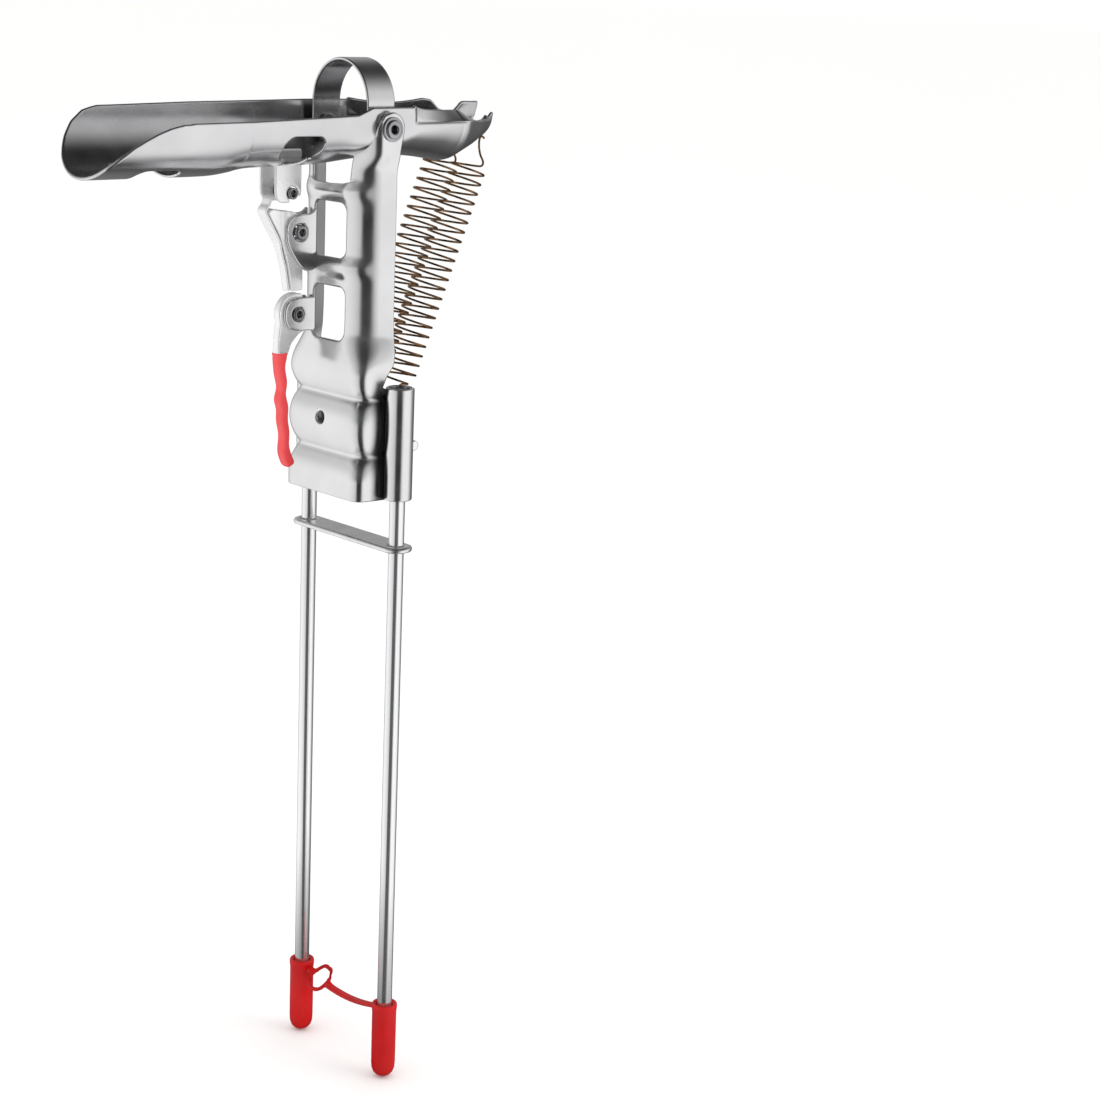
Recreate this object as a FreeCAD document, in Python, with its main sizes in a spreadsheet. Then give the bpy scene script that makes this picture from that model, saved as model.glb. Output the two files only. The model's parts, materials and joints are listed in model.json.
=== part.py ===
"""Spring-loaded ground-spike rod holder: a stamped stand on two spikes carries a tilting
rod cradle, two extension springs, a butt hoop and a latch with a pull-down trigger.

Millimetres. +Z is up and +X points from the cradle's nose towards its spring tail. The
origin is midway between the two ground spikes, level with the tips of their caps.
"""
import FreeCAD, Part
import math
import os

DRIVING = {
    # stand
    "pivot_x": -3.6,
    "pivot_z": 381.0,
    "sheet_gauge": 1.2,
    "spike_half_spacing": 27.5,
    "spike_radius": 3.0,
    "spike_point_z": 3.0,
    "spike_point_length": 12.0,
    "spike_top_z": 284.0,
    "sleeve_radius": 4.3,
    "sleeve_bottom_z": 240.0,
    "sleeve_top_z": 285.0,
    "rear_half_width": 22.7,
    "rear_x": 0.6,
    "upper_web_x": -13.6,
    "upper_web_half": 17.4,
    "lower_web_x": -16.4,
    "lower_web_half": 24.6,
    "web_top_z": 361.0,
    "ear_outer_y": 23.6,
    "ear_radius": 6.6,
    "window_half": 9.6,
    "accessory_hole_radius": 2.8,
    "accessory_hole_z": 270.0,
    "crossbar_z": 221.0,
    "crossbar_thick": 2.2,
    "crossbar_radius": 5.3,
    # pivots
    "rivet_radius": 2.2,
    "rivet_bore_radius": 1.3,
    "rivet_head_radius": 3.6,
    "rivet_head_thick": 0.9,
    "washer_radius": 4.8,
    "washer_thick": 0.8,
    "running_gap": 0.05,
    # cradle and hoop
    "cradle_half_width": 21.4,
    "cradle_wall": 1.2,
    "hoop_half_width": 17.0,
    "hoop_width": 13.0,
    "hoop_band": 1.2,
    "hoop_rise": 25.0,
    # latch and trigger
    "latch_mid_y": 11.8,
    "lever_width": 3.8,
    "lever_ear_gap": 4.4,
    "lever_head_width": 7.0,
    "catch_plate_gap": 8.0,
    "catch_pin_x": -26.1,
    "catch_pin_z": 355.4,
    "catch_pin_radius": 1.5,
    "catch_roller_radius": 2.2,
    "latch_pin_x": -20.8,
    "latch_pin_z": 340.5,
    "trigger_pin_x": -21.3,
    "trigger_pin_z": 309.4,
    "lever_pin_radius": 1.6,
    "lever_pin_head": 3.0,
    "cam_radius": 8.0,
    "grip_thick": 4.6,
    # springs
    "spring_radius": 7.5,
    "spring_wire": 1.0,
    "spring_half_spacing": 8.0,
    "spring_top_x": 48.8,
    "spring_top_z": 364.6,
    "spring_foot_x": 15.4,
    "spring_foot_z": 283.0,
    "anchor_rod_x": 6.3,
    "anchor_rod_z": 262.0,
    "anchor_rod_radius": 2.0,
    "tail_eye_x": 55.6,
    "tail_eye_z": 372.4,
    # caps
    "cap_radius": 4.9,
    "cap_mouth_radius": 5.5,
    "cap_length": 32.0,
    "strap_thick": 1.6,
    "strap_width": 5.0,
}

V = FreeCAD.Vector
X_AXIS = V(1, 0, 0)
Y_AXIS = V(0, 1, 0)
ALONG_Y = FreeCAD.Rotation(X_AXIS, -90)

doc = FreeCAD.newDocument("rod_holder")
sheet = doc.addObject("Spreadsheet::Sheet", "Sizes")
for row, (alias, value) in enumerate(DRIVING.items(), start=1):
    sheet.set(f"A{row}", alias)
    sheet.set(f"B{row}", str(value))
    sheet.setAlias(f"B{row}", alias)
doc.recompute()


def size(alias):
    """A driving dimension, read back from the sheet."""
    return float(sheet.get(alias))


PIVOT = V(size("pivot_x"), 0, size("pivot_z"))
GAUGE = size("sheet_gauge")
LATCH_Y = size("latch_mid_y")


# ---- helpers ---------------------------------------------------------------------------

def bind(obj, **expressions):
    """Binds properties of a document object to expressions over the sheet."""
    for name, expression in expressions.items():
        obj.setExpression(name.replace("__", "."), expression)
    return obj


def cylinder(name, radius, height):
    return bind(doc.addObject("Part::Cylinder", name), Radius=radius, Height=height)


def put(obj, x="0", y="0", z="0"):
    """Places an object by expressions for its three coordinates."""
    obj.setExpression("Placement.Base.x", x)
    obj.setExpression("Placement.Base.y", y)
    obj.setExpression("Placement.Base.z", z)
    return obj


def fuse(name, *shapes):
    joined = doc.addObject("Part::MultiFuse", name)
    joined.Shapes = list(shapes)
    joined.Refine = True
    return joined


def cut(name, base, tool):
    less = doc.addObject("Part::Cut", name)
    less.Base = base
    less.Tool = tool
    return less


def solid(name, shape):
    """A sub-part whose shape is made with Part's own functions."""
    feature = doc.addObject("Part::Feature", name)
    feature.Shape = shape.removeSplitter()
    return feature


def label(obj, node):
    obj.Label = node
    NODES[node] = obj
    return obj


def y_cylinder(radius, x, y_low, y_high, z):
    return Part.makeCylinder(radius, y_high - y_low, V(x, y_low, z), Y_AXIS)


def y_prism(points, y_low, y_high):
    """A side profile of (x, z) points, extruded from y_low to y_high."""
    outline = Part.makePolygon([V(x, y_low, z) for x, z in points + points[:1]])
    return Part.Face(outline).extrude(V(0, y_high - y_low, 0))


def rounded_window(x_low, x_high, half_width, z_low, z_high, radius):
    block = Part.makeBox(x_high - x_low, 2 * half_width, z_high - z_low, V(x_low, -half_width, z_low))
    corners = [e for e in block.Edges if abs(e.tangentAt(e.FirstParameter).x) > 0.9]
    return block.makeFillet(radius, corners)


def mirrored(shape):
    return shape.mirror(V(0, 0, 0), Y_AXIS)


NODES = {}


# ---- stand: stamped channel with rolled sleeves, latch ears and pivot ears --------------

def channel_path(z, web_x, web_half, rear_x, rear_y, radius, inset):
    """Half of the channel's plan outline: rear edge, flank, corner arc, middle of web."""
    flank = V(web_x - rear_x, web_half - rear_y, 0).normalize()
    outward = V(-flank.y, flank.x, 0)
    if outward.y < 0:
        outward = outward * -1
    rear = V(rear_x, rear_y, z) - outward * inset
    web = web_x + inset
    corner_y = rear.y + flank.y * (web - rear.x) / flank.x
    bend = radius - inset
    turn = math.acos(max(-1.0, min(1.0, V(0, -1, 0).dot(flank))))
    reach = bend * math.tan(turn / 2)
    corner = V(web, corner_y, z)
    start = corner - flank * reach
    end = corner + V(0, -reach, 0)
    centre = end + V(bend, 0, 0)
    middle = centre + ((start - centre) + (end - centre)).normalize() * bend
    return rear, start, middle, end


def flip(point):
    return V(point.x, -point.y, point.z)


def channel_wire(z, web_x, web_half, rear_x, rear_y, radius):
    """The closed outline of the bent sheet at one height."""
    sides = []
    for inset in (0.0, GAUGE):
        sides.append(channel_path(z, web_x, web_half, rear_x, rear_y, radius, inset))
    (rear, start, middle, end), (rear_in, start_in, middle_in, end_in) = sides
    edges = [
        Part.LineSegment(rear, start).toShape(),
        Part.Arc(start, middle, end).toShape(),
        Part.LineSegment(end, flip(end)).toShape(),
        Part.Arc(flip(end), flip(middle), flip(start)).toShape(),
        Part.LineSegment(flip(start), flip(rear)).toShape(),
        Part.LineSegment(flip(rear), flip(rear_in)).toShape(),
        Part.LineSegment(flip(rear_in), flip(start_in)).toShape(),
        Part.Arc(flip(start_in), flip(middle_in), flip(end_in)).toShape(),
        Part.LineSegment(flip(end_in), end_in).toShape(),
        Part.Arc(end_in, middle_in, start_in).toShape(),
        Part.LineSegment(start_in, rear_in).toShape(),
        Part.LineSegment(rear_in, rear).toShape(),
    ]
    return Part.Wire(edges)


def stand_shape():
    upper = (size("upper_web_x"), size("upper_web_half"))
    lower = (size("lower_web_x"), size("lower_web_half"))
    rear_x = size("rear_x")
    rear_y = size("rear_half_width")
    top = size("pivot_z")
    rib = 2.0
    neck = (size("lower_web_x") + 4.0, size("lower_web_half") - 2.0)

    def level(drop, web, radius=4.0, rear=rear_y, extra=0.0):
        return channel_wire(top - drop, web[0] - extra, web[1] + extra * 0.3, rear_x, rear, radius)

    sleeve_y = size("spike_half_spacing") - 3.4
    levels = [
        level(12.0, upper), level(19.5, upper),
        level(21.5, upper, extra=rib), level(26.0, upper, extra=rib), level(28.0, upper),
        level(48.0, upper), level(50.0, upper, extra=rib), level(54.5, upper, extra=rib),
        level(56.5, upper), level(82.0, upper),
        level(89.0, lower, 6.0, sleeve_y), level(96.5, lower, 6.0, sleeve_y),
        level(99.5, neck, 6.0, sleeve_y), level(103.5, neck, 6.0, sleeve_y),
        level(106.5, lower, 6.0, sleeve_y), level(118.5, lower, 6.0, sleeve_y),
        level(121.5, neck, 6.0, sleeve_y), level(125.5, neck, 6.0, sleeve_y),
        level(128.5, lower, 6.0, sleeve_y), level(140.5, lower, 6.0, sleeve_y),
    ]
    shell = Part.makeLoft(levels, True, True)

    # the web stops below the cradle, with a rounded step up to each flank
    web_top = size("web_top_z")
    clear = rounded_window(-40, -9.0, 15.5, web_top, web_top + 30, 5.0)
    shell = shell.cut(clear)
    for high, low in ((28.0, 48.5), (60.0, 80.0)):
        shell = shell.cut(rounded_window(-30, -6, size("window_half"), top - low, top - high, 2.5))

    # flat pivot ears above the flanks
    outer = size("ear_outer_y")
    ear = y_cylinder(size("ear_radius"), PIVOT.x, outer - GAUGE, outer, PIVOT.z)
    foot = Part.makeBox(2 * size("ear_radius"), GAUGE, 10.0,
                        V(PIVOT.x - size("ear_radius"), outer - GAUGE, PIVOT.z - 10.0))
    bend = Part.makeLoft([
        Part.makePolygon([V(x, y, PIVOT.z - 14.5) for x, y in
                          ((-11.6, 18.6), (0.6, 22.7), (0.9, 21.5), (-11.2, 17.5), (-11.6, 18.6))]),
        Part.makePolygon([V(x, y, PIVOT.z - 10.0) for x, y in
                          ((-10.2, 23.6), (3.0, 23.6), (3.0, 22.4), (-10.2, 22.4), (-10.2, 23.6))]),
    ], True, True)
    shell = shell.cut(Part.makeBox(60, 80, 20, V(-40, -40, PIVOT.z - 14.5)))
    side = ear.fuse(foot).fuse(bend)
    shell = shell.fuse(side).fuse(mirrored(side))

    # edges rolled round the two spikes
    spacing = size("spike_half_spacing")
    bottom = size("sleeve_bottom_z")
    tall = size("sleeve_top_z") - bottom
    for y in (spacing, -spacing):
        shell = shell.fuse(Part.makeCylinder(size("sleeve_radius"), tall, V(0, y, bottom)))
    for y in (spacing, -spacing):
        shell = shell.cut(Part.makeCylinder(size("spike_radius"), 80.0, V(0, y, bottom - 20)))

    # latch ears and trigger ears, folded forwards out of the windows
    near = LATCH_Y - size("lever_ear_gap") / 2 - GAUGE
    far = LATCH_Y + size("lever_ear_gap") / 2
    web_x = size("upper_web_x") + GAUGE / 2
    latch_x, latch_z = size("latch_pin_x"), size("latch_pin_z")
    trigger_x, trigger_z = size("trigger_pin_x"), size("trigger_pin_z")
    for y in (near, far):
        tab = y_prism([(web_x, top - 30.5), (latch_x + 1.0, latch_z + 4.6), (latch_x, latch_z - 5.0),
                       (web_x, top - 47.5)], y, y + GAUGE)
        tab = tab.fuse(y_cylinder(5.2, latch_x, y, y + GAUGE, latch_z))
        lobe = y_cylinder(6.2, trigger_x, y, y + GAUGE, trigger_z)
        lobe = lobe.fuse(y_prism([(web_x, trigger_z + 6.2), (trigger_x, trigger_z + 6.2),
                                  (trigger_x, trigger_z - 6.2), (web_x, trigger_z - 6.2)],
                                 y, y + GAUGE))
        shell = shell.fuse(tab).fuse(lobe)
    for x, z in ((latch_x, latch_z), (trigger_x, trigger_z)):
        shell = shell.cut(y_cylinder(size("lever_pin_radius"), x, near - 1, far + 3, z))

    # pivot holes and the round accessory hole in the lower web
    shell = shell.cut(y_cylinder(size("rivet_radius"), PIVOT.x, -40, 40, PIVOT.z))
    hole = Part.makeCylinder(size("accessory_hole_radius"), 20, V(-25, 0, size("accessory_hole_z")), X_AXIS)
    return shell.cut(hole)


label(solid("StandBody", stand_shape()), "stand_body")


# ---- spikes, crossbar and spring anchor ------------------------------------------------

for side, sign in (("left", "1"), ("right", "-1")):
    y = f"{sign} * Sizes.spike_half_spacing"
    shank = put(cylinder(f"Shank_{side}", "Sizes.spike_radius",
                         "Sizes.spike_top_z - Sizes.spike_point_z - Sizes.spike_point_length"),
                y=y, z="Sizes.spike_point_z + Sizes.spike_point_length")
    point = doc.addObject("Part::Cone", f"Point_{side}")
    bind(point, Radius1="0.4", Radius2="Sizes.spike_radius", Height="Sizes.spike_point_length")
    put(point, y=y, z="Sizes.spike_point_z")
    label(fuse(f"Spike_{side}", shank, point), f"ground_spike_{side}")

bar_mid = bind(doc.addObject("Part::Box", "BarMiddle"), Length="2 * Sizes.crossbar_radius",
               Width="2 * Sizes.spike_half_spacing", Height="Sizes.crossbar_thick")
put(bar_mid, x="-Sizes.crossbar_radius", y="-Sizes.spike_half_spacing", z="Sizes.crossbar_z")
bar_ends = []
bar_holes = []
for side, sign in (("left", "1"), ("right", "-1")):
    y = f"{sign} * Sizes.spike_half_spacing"
    bar_ends.append(put(cylinder(f"BarEnd_{side}", "Sizes.crossbar_radius", "Sizes.crossbar_thick"),
                        y=y, z="Sizes.crossbar_z"))
    bar_holes.append(put(cylinder(f"BarHole_{side}", "Sizes.spike_radius", "3 * Sizes.crossbar_thick"),
                         y=y, z="Sizes.crossbar_z - Sizes.crossbar_thick"))
label(cut("Crossbar", fuse("BarBlank", bar_mid, *bar_ends), fuse("BarHoles", *bar_holes)), "crossbar")

rod = cylinder("AnchorRod", "Sizes.anchor_rod_radius", "2 * Sizes.spike_half_spacing + 4")
rod.Placement.Rotation = ALONG_Y
put(rod, x="Sizes.anchor_rod_x", y="-Sizes.spike_half_spacing - 2", z="Sizes.anchor_rod_z")
label(rod, "spring_anchor_rod")


# ---- pivot rivets and washers ----------------------------------------------------------

def tubular_rivet(y_inner, y_outer):
    """A hollow rivet along Y with a flat head inside and a rolled head outside."""
    head = size("rivet_head_thick")
    body = y_cylinder(size("rivet_radius"), PIVOT.x, y_inner, y_outer, PIVOT.z)
    body = body.fuse(y_cylinder(size("rivet_head_radius"), PIVOT.x, y_inner - head, y_inner, PIVOT.z))
    body = body.fuse(y_cylinder(size("rivet_head_radius"), PIVOT.x, y_outer, y_outer + head, PIVOT.z))
    return body.cut(y_cylinder(size("rivet_bore_radius"), PIVOT.x, 0, 60, PIVOT.z))


def washer(y_low, thick, radius):
    ring = y_cylinder(radius, PIVOT.x, y_low, y_low + thick, PIVOT.z)
    bore = size("rivet_radius") + size("running_gap")
    return ring.cut(y_cylinder(bore, PIVOT.x, y_low - 1, y_low + thick + 1, PIVOT.z))


hoop_inner_y = size("hoop_half_width") - size("hoop_band")
washer_y = size("ear_outer_y") + 0.02
rivet_shape = tubular_rivet(hoop_inner_y - 0.3, washer_y + size("washer_thick"))
washer_shape = washer(washer_y, size("washer_thick"), size("washer_radius"))
spacer_shape = washer(size("hoop_half_width") + 0.3, 2.4, 3.6)
for side, shapes in (("left", (rivet_shape, washer_shape, spacer_shape)),
                     ("right", [mirrored(s) for s in (rivet_shape, washer_shape, spacer_shape)])):
    label(solid(f"Rivet_{side}", shapes[0]), f"pivot_rivet_{side}")
    label(solid(f"Washer_{side}", shapes[1]), f"pivot_washer_{side}")
    label(solid(f"Spacer_{side}", shapes[2]), f"hoop_spacer_{side}")


# ---- rod cradle ------------------------------------------------------------------------

CRADLE_TOP = 12.0
# x from the pivot, height of the walls' lower end, share of the half width, depth of the round bottom
CRADLE_STATIONS = [
    (-119.0, 5.0, 1.0, 21.3),
    (-66.0, 5.0, 1.0, 21.3),
    (-54.0, 5.0, 1.0, 18.6),
    (-16.0, 2.0, 1.0, 15.4),
    (-9.0, -3.0, 0.98, 9.6),
    (9.0, -3.0, 0.98, 9.2),
    (16.0, 1.0, 1.0, 13.0),
    (30.0, 2.4, 1.0, 14.8),
    (43.0, 2.6, 0.97, 16.8),
    (55.0, 1.5, 0.72, 11.0),
    (62.0, 1.5, 0.50, 7.5),
    (68.0, 1.5, 0.26, 3.6),
]
# the tail's flanges, folded inwards: x, then y and z of the fold and of the free edge
FLANGE_STATIONS = [
    (13.5, 21.0, 2.4, 20.2, 7.6),
    (28.0, 20.9, 2.4, 14.8, 7.6),
    (43.0, 20.4, 2.6, 8.8, 7.4),
    (55.0, 15.2, 2.4, 8.4, 4.4),
    (62.0, 10.6, 2.4, 6.0, 5.0),
    (67.5, 5.8, 2.4, 3.6, 6.0),
]


def trough_wire(x, wall_low, half, depth, inset):
    """A U outline across the cradle: straight walls over a half ellipse."""
    centre = V(PIVOT.x + x, 0, PIVOT.z + wall_low)
    top = PIVOT.z + CRADLE_TOP
    wide = half - inset
    deep = depth - inset
    if wide > deep:
        ellipse = Part.Ellipse(centre + V(0, wide, 0), centre + V(0, 0, -deep), centre)
        arc = Part.Arc(ellipse, 0, math.pi).toShape()
    else:
        ellipse = Part.Ellipse(centre + V(0, 0, -deep), centre + V(0, -wide, 0), centre)
        arc = Part.Arc(ellipse, -math.pi / 2, math.pi / 2).toShape()
    ends = sorted((v.Point for v in arc.Vertexes), key=lambda p: p.y)
    right, left = ends[0], ends[-1]
    walls = [
        Part.LineSegment(left, V(left.x, left.y, top)).toShape(),
        Part.LineSegment(V(left.x, left.y, top), V(right.x, right.y, top)).toShape(),
        Part.LineSegment(V(right.x, right.y, top), right).toShape(),
    ]
    return Part.Wire(Part.__sortEdges__([arc] + walls))


def trough_solid(inset):
    half = size("cradle_half_width")
    solids = []
    for first, second in zip(CRADLE_STATIONS, CRADLE_STATIONS[1:]):
        pair = [trough_wire(s[0], s[1], s[2] * half, s[3], inset) for s in (first, second)]
        solids.append(Part.makeLoft(pair, True, True))
    joined = solids[0]
    return joined.multiFuse(solids[1:])


def cradle_side_profile():
    """The cradle's outline from the side, as a closed wire in the XZ plane."""
    def at(x, z):
        return V(PIVOT.x + x, -40, PIVOT.z + z)

    nose_top, nose_mid, nose_low = at(-94, 4.8), at(-110.0, -2.6), at(-118.8, -14.4)
    corners = [nose_low, at(-118.8, -20), at(70, -20), at(70, 2.5), at(13.6, 2.5), at(12.6, 8.2),
               at(-7, 8.2), at(-14, 6.2), nose_top]
    edges = [Part.Arc(nose_top, nose_mid, nose_low).toShape()]
    for first, second in zip(corners, corners[1:]):
        edges.append(Part.LineSegment(first, second).toShape())
    return Part.Wire(edges)


def flange_solid():
    """The left-hand tail flange: a strip of sheet folded inwards along the wall's top."""
    wires = []
    for x, fold_y, fold_z, edge_y, edge_z in FLANGE_STATIONS:
        fold = V(PIVOT.x + x, fold_y, PIVOT.z + fold_z)
        edge = V(PIVOT.x + x, edge_y, PIVOT.z + edge_z)
        slope = (edge - fold).normalize()
        down = V(0, slope.z, -slope.y) * size("cradle_wall")
        if down.z > 0:
            down = down * -1
        wires.append(Part.makePolygon([fold, edge, edge + down, fold + down, fold]))
    return Part.makeLoft(wires, True, True)


def cradle_shape():
    outside = trough_solid(0.0)
    shell = outside.cut(trough_solid(size("cradle_wall")))
    profile = Part.Face(cradle_side_profile()).extrude(V(0, 80, 0))
    shell = shell.common(profile)
    shell = shell.fuse(flange_solid()).fuse(mirrored(flange_solid()))
    # wide drain slot under the nose, one oval finger opening in each wall, spring eyes in the tail
    slot = Part.makeBox(17.5, 23, 30, V(PIVOT.x - 101.5, -11.5, PIVOT.z - 30))
    slot = slot.makeFillet(3.5, [e for e in slot.Edges if abs(e.tangentAt(e.FirstParameter).z) > 0.9])
    oval = Part.makeBox(18, 60, 8.5, V(PIVOT.x - 45, -30, PIVOT.z - 11))
    oval = oval.makeFillet(4.0, [e for e in oval.Edges if abs(e.tangentAt(e.FirstParameter).y) > 0.9])
    shell = shell.cut(slot).cut(oval)
    for y in (size("spring_half_spacing"), -size("spring_half_spacing")):
        shell = shell.cut(Part.makeCylinder(2.0, 40, V(size("tail_eye_x"), y, PIVOT.z - 30)))
    bore = size("rivet_radius") + size("running_gap")
    return shell.cut(y_cylinder(bore, PIVOT.x, -40, 40, PIVOT.z))


label(solid("RodCradle", cradle_shape()), "rod_cradle")


# ---- butt hoop -------------------------------------------------------------------------

def hoop_outline(half, rise, low):
    """Legs and a half round crown, as a face in the YZ plane."""
    x = PIVOT.x - size("hoop_width") / 2
    z_low, z_turn = PIVOT.z + low, PIVOT.z + rise - half
    edges = [
        Part.LineSegment(V(x, -half, z_low), V(x, -half, z_turn)).toShape(),
        Part.Arc(V(x, -half, z_turn), V(x, 0, z_turn + half), V(x, half, z_turn)).toShape(),
        Part.LineSegment(V(x, half, z_turn), V(x, half, z_low)).toShape(),
        Part.LineSegment(V(x, half, z_low), V(x, -half, z_low)).toShape(),
    ]
    return Part.Face(Part.Wire(edges)).extrude(V(size("hoop_width"), 0, 0))


def hoop_shape():
    half = size("hoop_half_width")
    band = size("hoop_band")
    foot = size("hoop_width") / 2
    hoop = hoop_outline(half, size("hoop_rise"), 0.0)
    hoop = hoop.cut(hoop_outline(half - band, size("hoop_rise") - band, -1.0))
    for y in (-half, half - band):
        hoop = hoop.fuse(y_cylinder(foot, PIVOT.x, y, y + band, PIVOT.z))
    return hoop.cut(y_cylinder(size("rivet_radius") + size("running_gap"), PIVOT.x, -40, 40, PIVOT.z))


label(solid("ButtHoop", hoop_shape()), "butt_hoop")


# ---- catch bracket under the cradle ----------------------------------------------------

def catch_bracket_shape():
    half_gap = size("catch_plate_gap") / 2
    low, high = PIVOT.z - 29.3, PIVOT.z - 5.0
    front, rear = PIVOT.x - 31.0, PIVOT.x - 18.0
    plates = Part.makeBox(rear - front, 2 * (half_gap + GAUGE), high - low,
                          V(front, LATCH_Y - half_gap - GAUGE, low))
    plates = plates.makeFillet(3.0, [e for e in plates.Edges
                                     if abs(e.tangentAt(e.FirstParameter).y) > 0.9
                                     and e.BoundBox.ZMax < low + 1])
    bay = Part.makeBox(rear - front + 2, 2 * half_gap, high - low - 8.0,
                       V(front - 1, LATCH_Y - half_gap, low - 1))
    plates = plates.cut(bay).cut(trough_solid(-0.02))
    pin = y_cylinder(size("catch_pin_radius"), size("catch_pin_x"), 0, 40, size("catch_pin_z"))
    return plates.cut(pin)


def rivet_between(x, z, radius, head_radius, head_thick, y_low, y_high):
    """A solid rivet along Y with a low head on each end."""
    rivet = y_cylinder(radius, x, y_low, y_high, z)
    rivet = rivet.fuse(y_cylinder(head_radius, x, y_low - head_thick, y_low, z))
    return rivet.fuse(y_cylinder(head_radius, x, y_high, y_high + head_thick, z))


catch_half = size("catch_plate_gap") / 2
label(solid("CatchBracket", catch_bracket_shape()), "catch_bracket")
catch_pin = rivet_between(size("catch_pin_x"), size("catch_pin_z"), size("catch_pin_radius"), 2.4, 0.8,
                          LATCH_Y - catch_half - GAUGE, LATCH_Y + catch_half + GAUGE)
label(solid("CatchPin", catch_pin), "catch_pin")
roller = y_cylinder(size("catch_roller_radius"), size("catch_pin_x"), LATCH_Y - catch_half + 0.2,
                    LATCH_Y + catch_half - 0.2, size("catch_pin_z"))
roller = roller.cut(y_cylinder(size("catch_pin_radius") + size("running_gap"), size("catch_pin_x"),
                               0, 40, size("catch_pin_z")))
label(solid("CatchRoller", roller), "catch_roller")


# ---- latch lever and its pin -----------------------------------------------------------

def latch_lever_shape():
    """A folded lever: broad hooked head, narrow stem that stands on the trigger's cam."""
    x0, z0 = size("latch_pin_x"), size("latch_pin_z")
    head_half = size("lever_head_width") / 2
    stem_half = size("lever_width") / 2
    stem_end = size("trigger_pin_z") + size("cam_radius") + 0.8
    head = [(-17.2, 10.2), (-15.0, 12.6), (-11.5, 11.6), (-1.0, 11.0), (1.2, 8.0), (1.2, 5.0), (-4.6, -6.0)]
    lever = y_prism([(x0 + x, z0 + z) for x, z in head], LATCH_Y - head_half, LATCH_Y + head_half)
    hollow = [(-14.4, 14.0), (-14.4, 9.6), (-4.2, -4.0), (-3.0, -7.0), (6.0, -7.0), (6.0, 14.0)]
    lever = lever.cut(y_prism([(x0 + x, z0 + z) for x, z in hollow],
                              LATCH_Y - head_half + GAUGE, LATCH_Y + head_half - GAUGE))
    keep = Part.makeBox(60, 40, 60, V(x0 - 30, LATCH_Y - 20, z0 + 5.6))
    lever = lever.common(keep)
    stem = y_prism([(x0 - 12.4, z0 + 5.8), (x0 + 2.8, z0 + 5.8), (x0 + 2.8, stem_end),
                    (x0 - 2.8, stem_end), (x0 - 2.8, z0 - 6.0)],
                   LATCH_Y - stem_half, LATCH_Y + stem_half)
    curl = y_cylinder(1.9, PIVOT.x - 28.6, LATCH_Y - head_half, LATCH_Y + head_half, PIVOT.z - 25.9)
    neck = y_prism([(PIVOT.x - 30.3, PIVOT.z - 26.2), (PIVOT.x - 28.6, PIVOT.z - 27.6),
                    (PIVOT.x - 29.2, PIVOT.z - 31.0), (PIVOT.x - 32.6, PIVOT.z - 29.2)],
                   LATCH_Y - head_half, LATCH_Y + head_half)
    lever = lever.fuse(stem).fuse(curl).fuse(neck)
    return lever.cut(y_cylinder(size("lever_pin_radius") + size("running_gap"), x0, 0, 40, z0))


ear_half = size("lever_ear_gap") / 2
label(solid("LatchLever", latch_lever_shape()), "latch_lever")
latch_pin = rivet_between(size("latch_pin_x"), size("latch_pin_z"), size("lever_pin_radius"), 3.8, 1.2,
                          LATCH_Y - ear_half - GAUGE, LATCH_Y + ear_half + GAUGE)
screwdriver_slot = Part.makeBox(9, 0.6, 1.0, V(size("latch_pin_x") - 4.5,
                                               LATCH_Y - ear_half - GAUGE - 1.2, size("latch_pin_z") - 0.5))
label(solid("LatchPin", latch_pin.cut(screwdriver_slot)), "latch_pin")


# ---- trigger lever, grip and pin -------------------------------------------------------

def trigger_lever_shape():
    x0, z0 = size("trigger_pin_x"), size("trigger_pin_z")
    half = size("lever_width") / 2
    cam = y_cylinder(size("cam_radius"), x0, LATCH_Y - half, LATCH_Y + half, z0)
    cam = cam.cut(Part.makeBox(20, 20, 40, V(x0 + 3.2, LATCH_Y - 10, z0 - 20)))
    cam = cam.cut(Part.makeBox(20, 20, 20, V(x0 - 2.0, LATCH_Y - 10, z0 - 24.0)))
    tang = y_prism([(x0 - 7.4, z0 - 14.0), (x0 - 4.4, z0 - 14.0), (x0 - 5.8, z0 - 24.0),
                    (x0 - 6.8, z0 - 24.0)], LATCH_Y - GAUGE / 2, LATCH_Y + GAUGE / 2)
    cheeks = y_prism([(x0 - 7.0, z0 - 2.0), (x0 + 1.0, z0), (x0 - 2.7, z0 - 5.0), (x0 - 3.2, z0 - 14.6),
                      (x0 - 8.4, z0 - 14.6), (x0 - 8.2, z0 - 9.6)], LATCH_Y - half, LATCH_Y + half)
    lever = cam.fuse(cheeks).fuse(tang)
    return lever.cut(y_cylinder(size("lever_pin_radius") + size("running_gap"), x0, 0, 40, z0))


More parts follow.
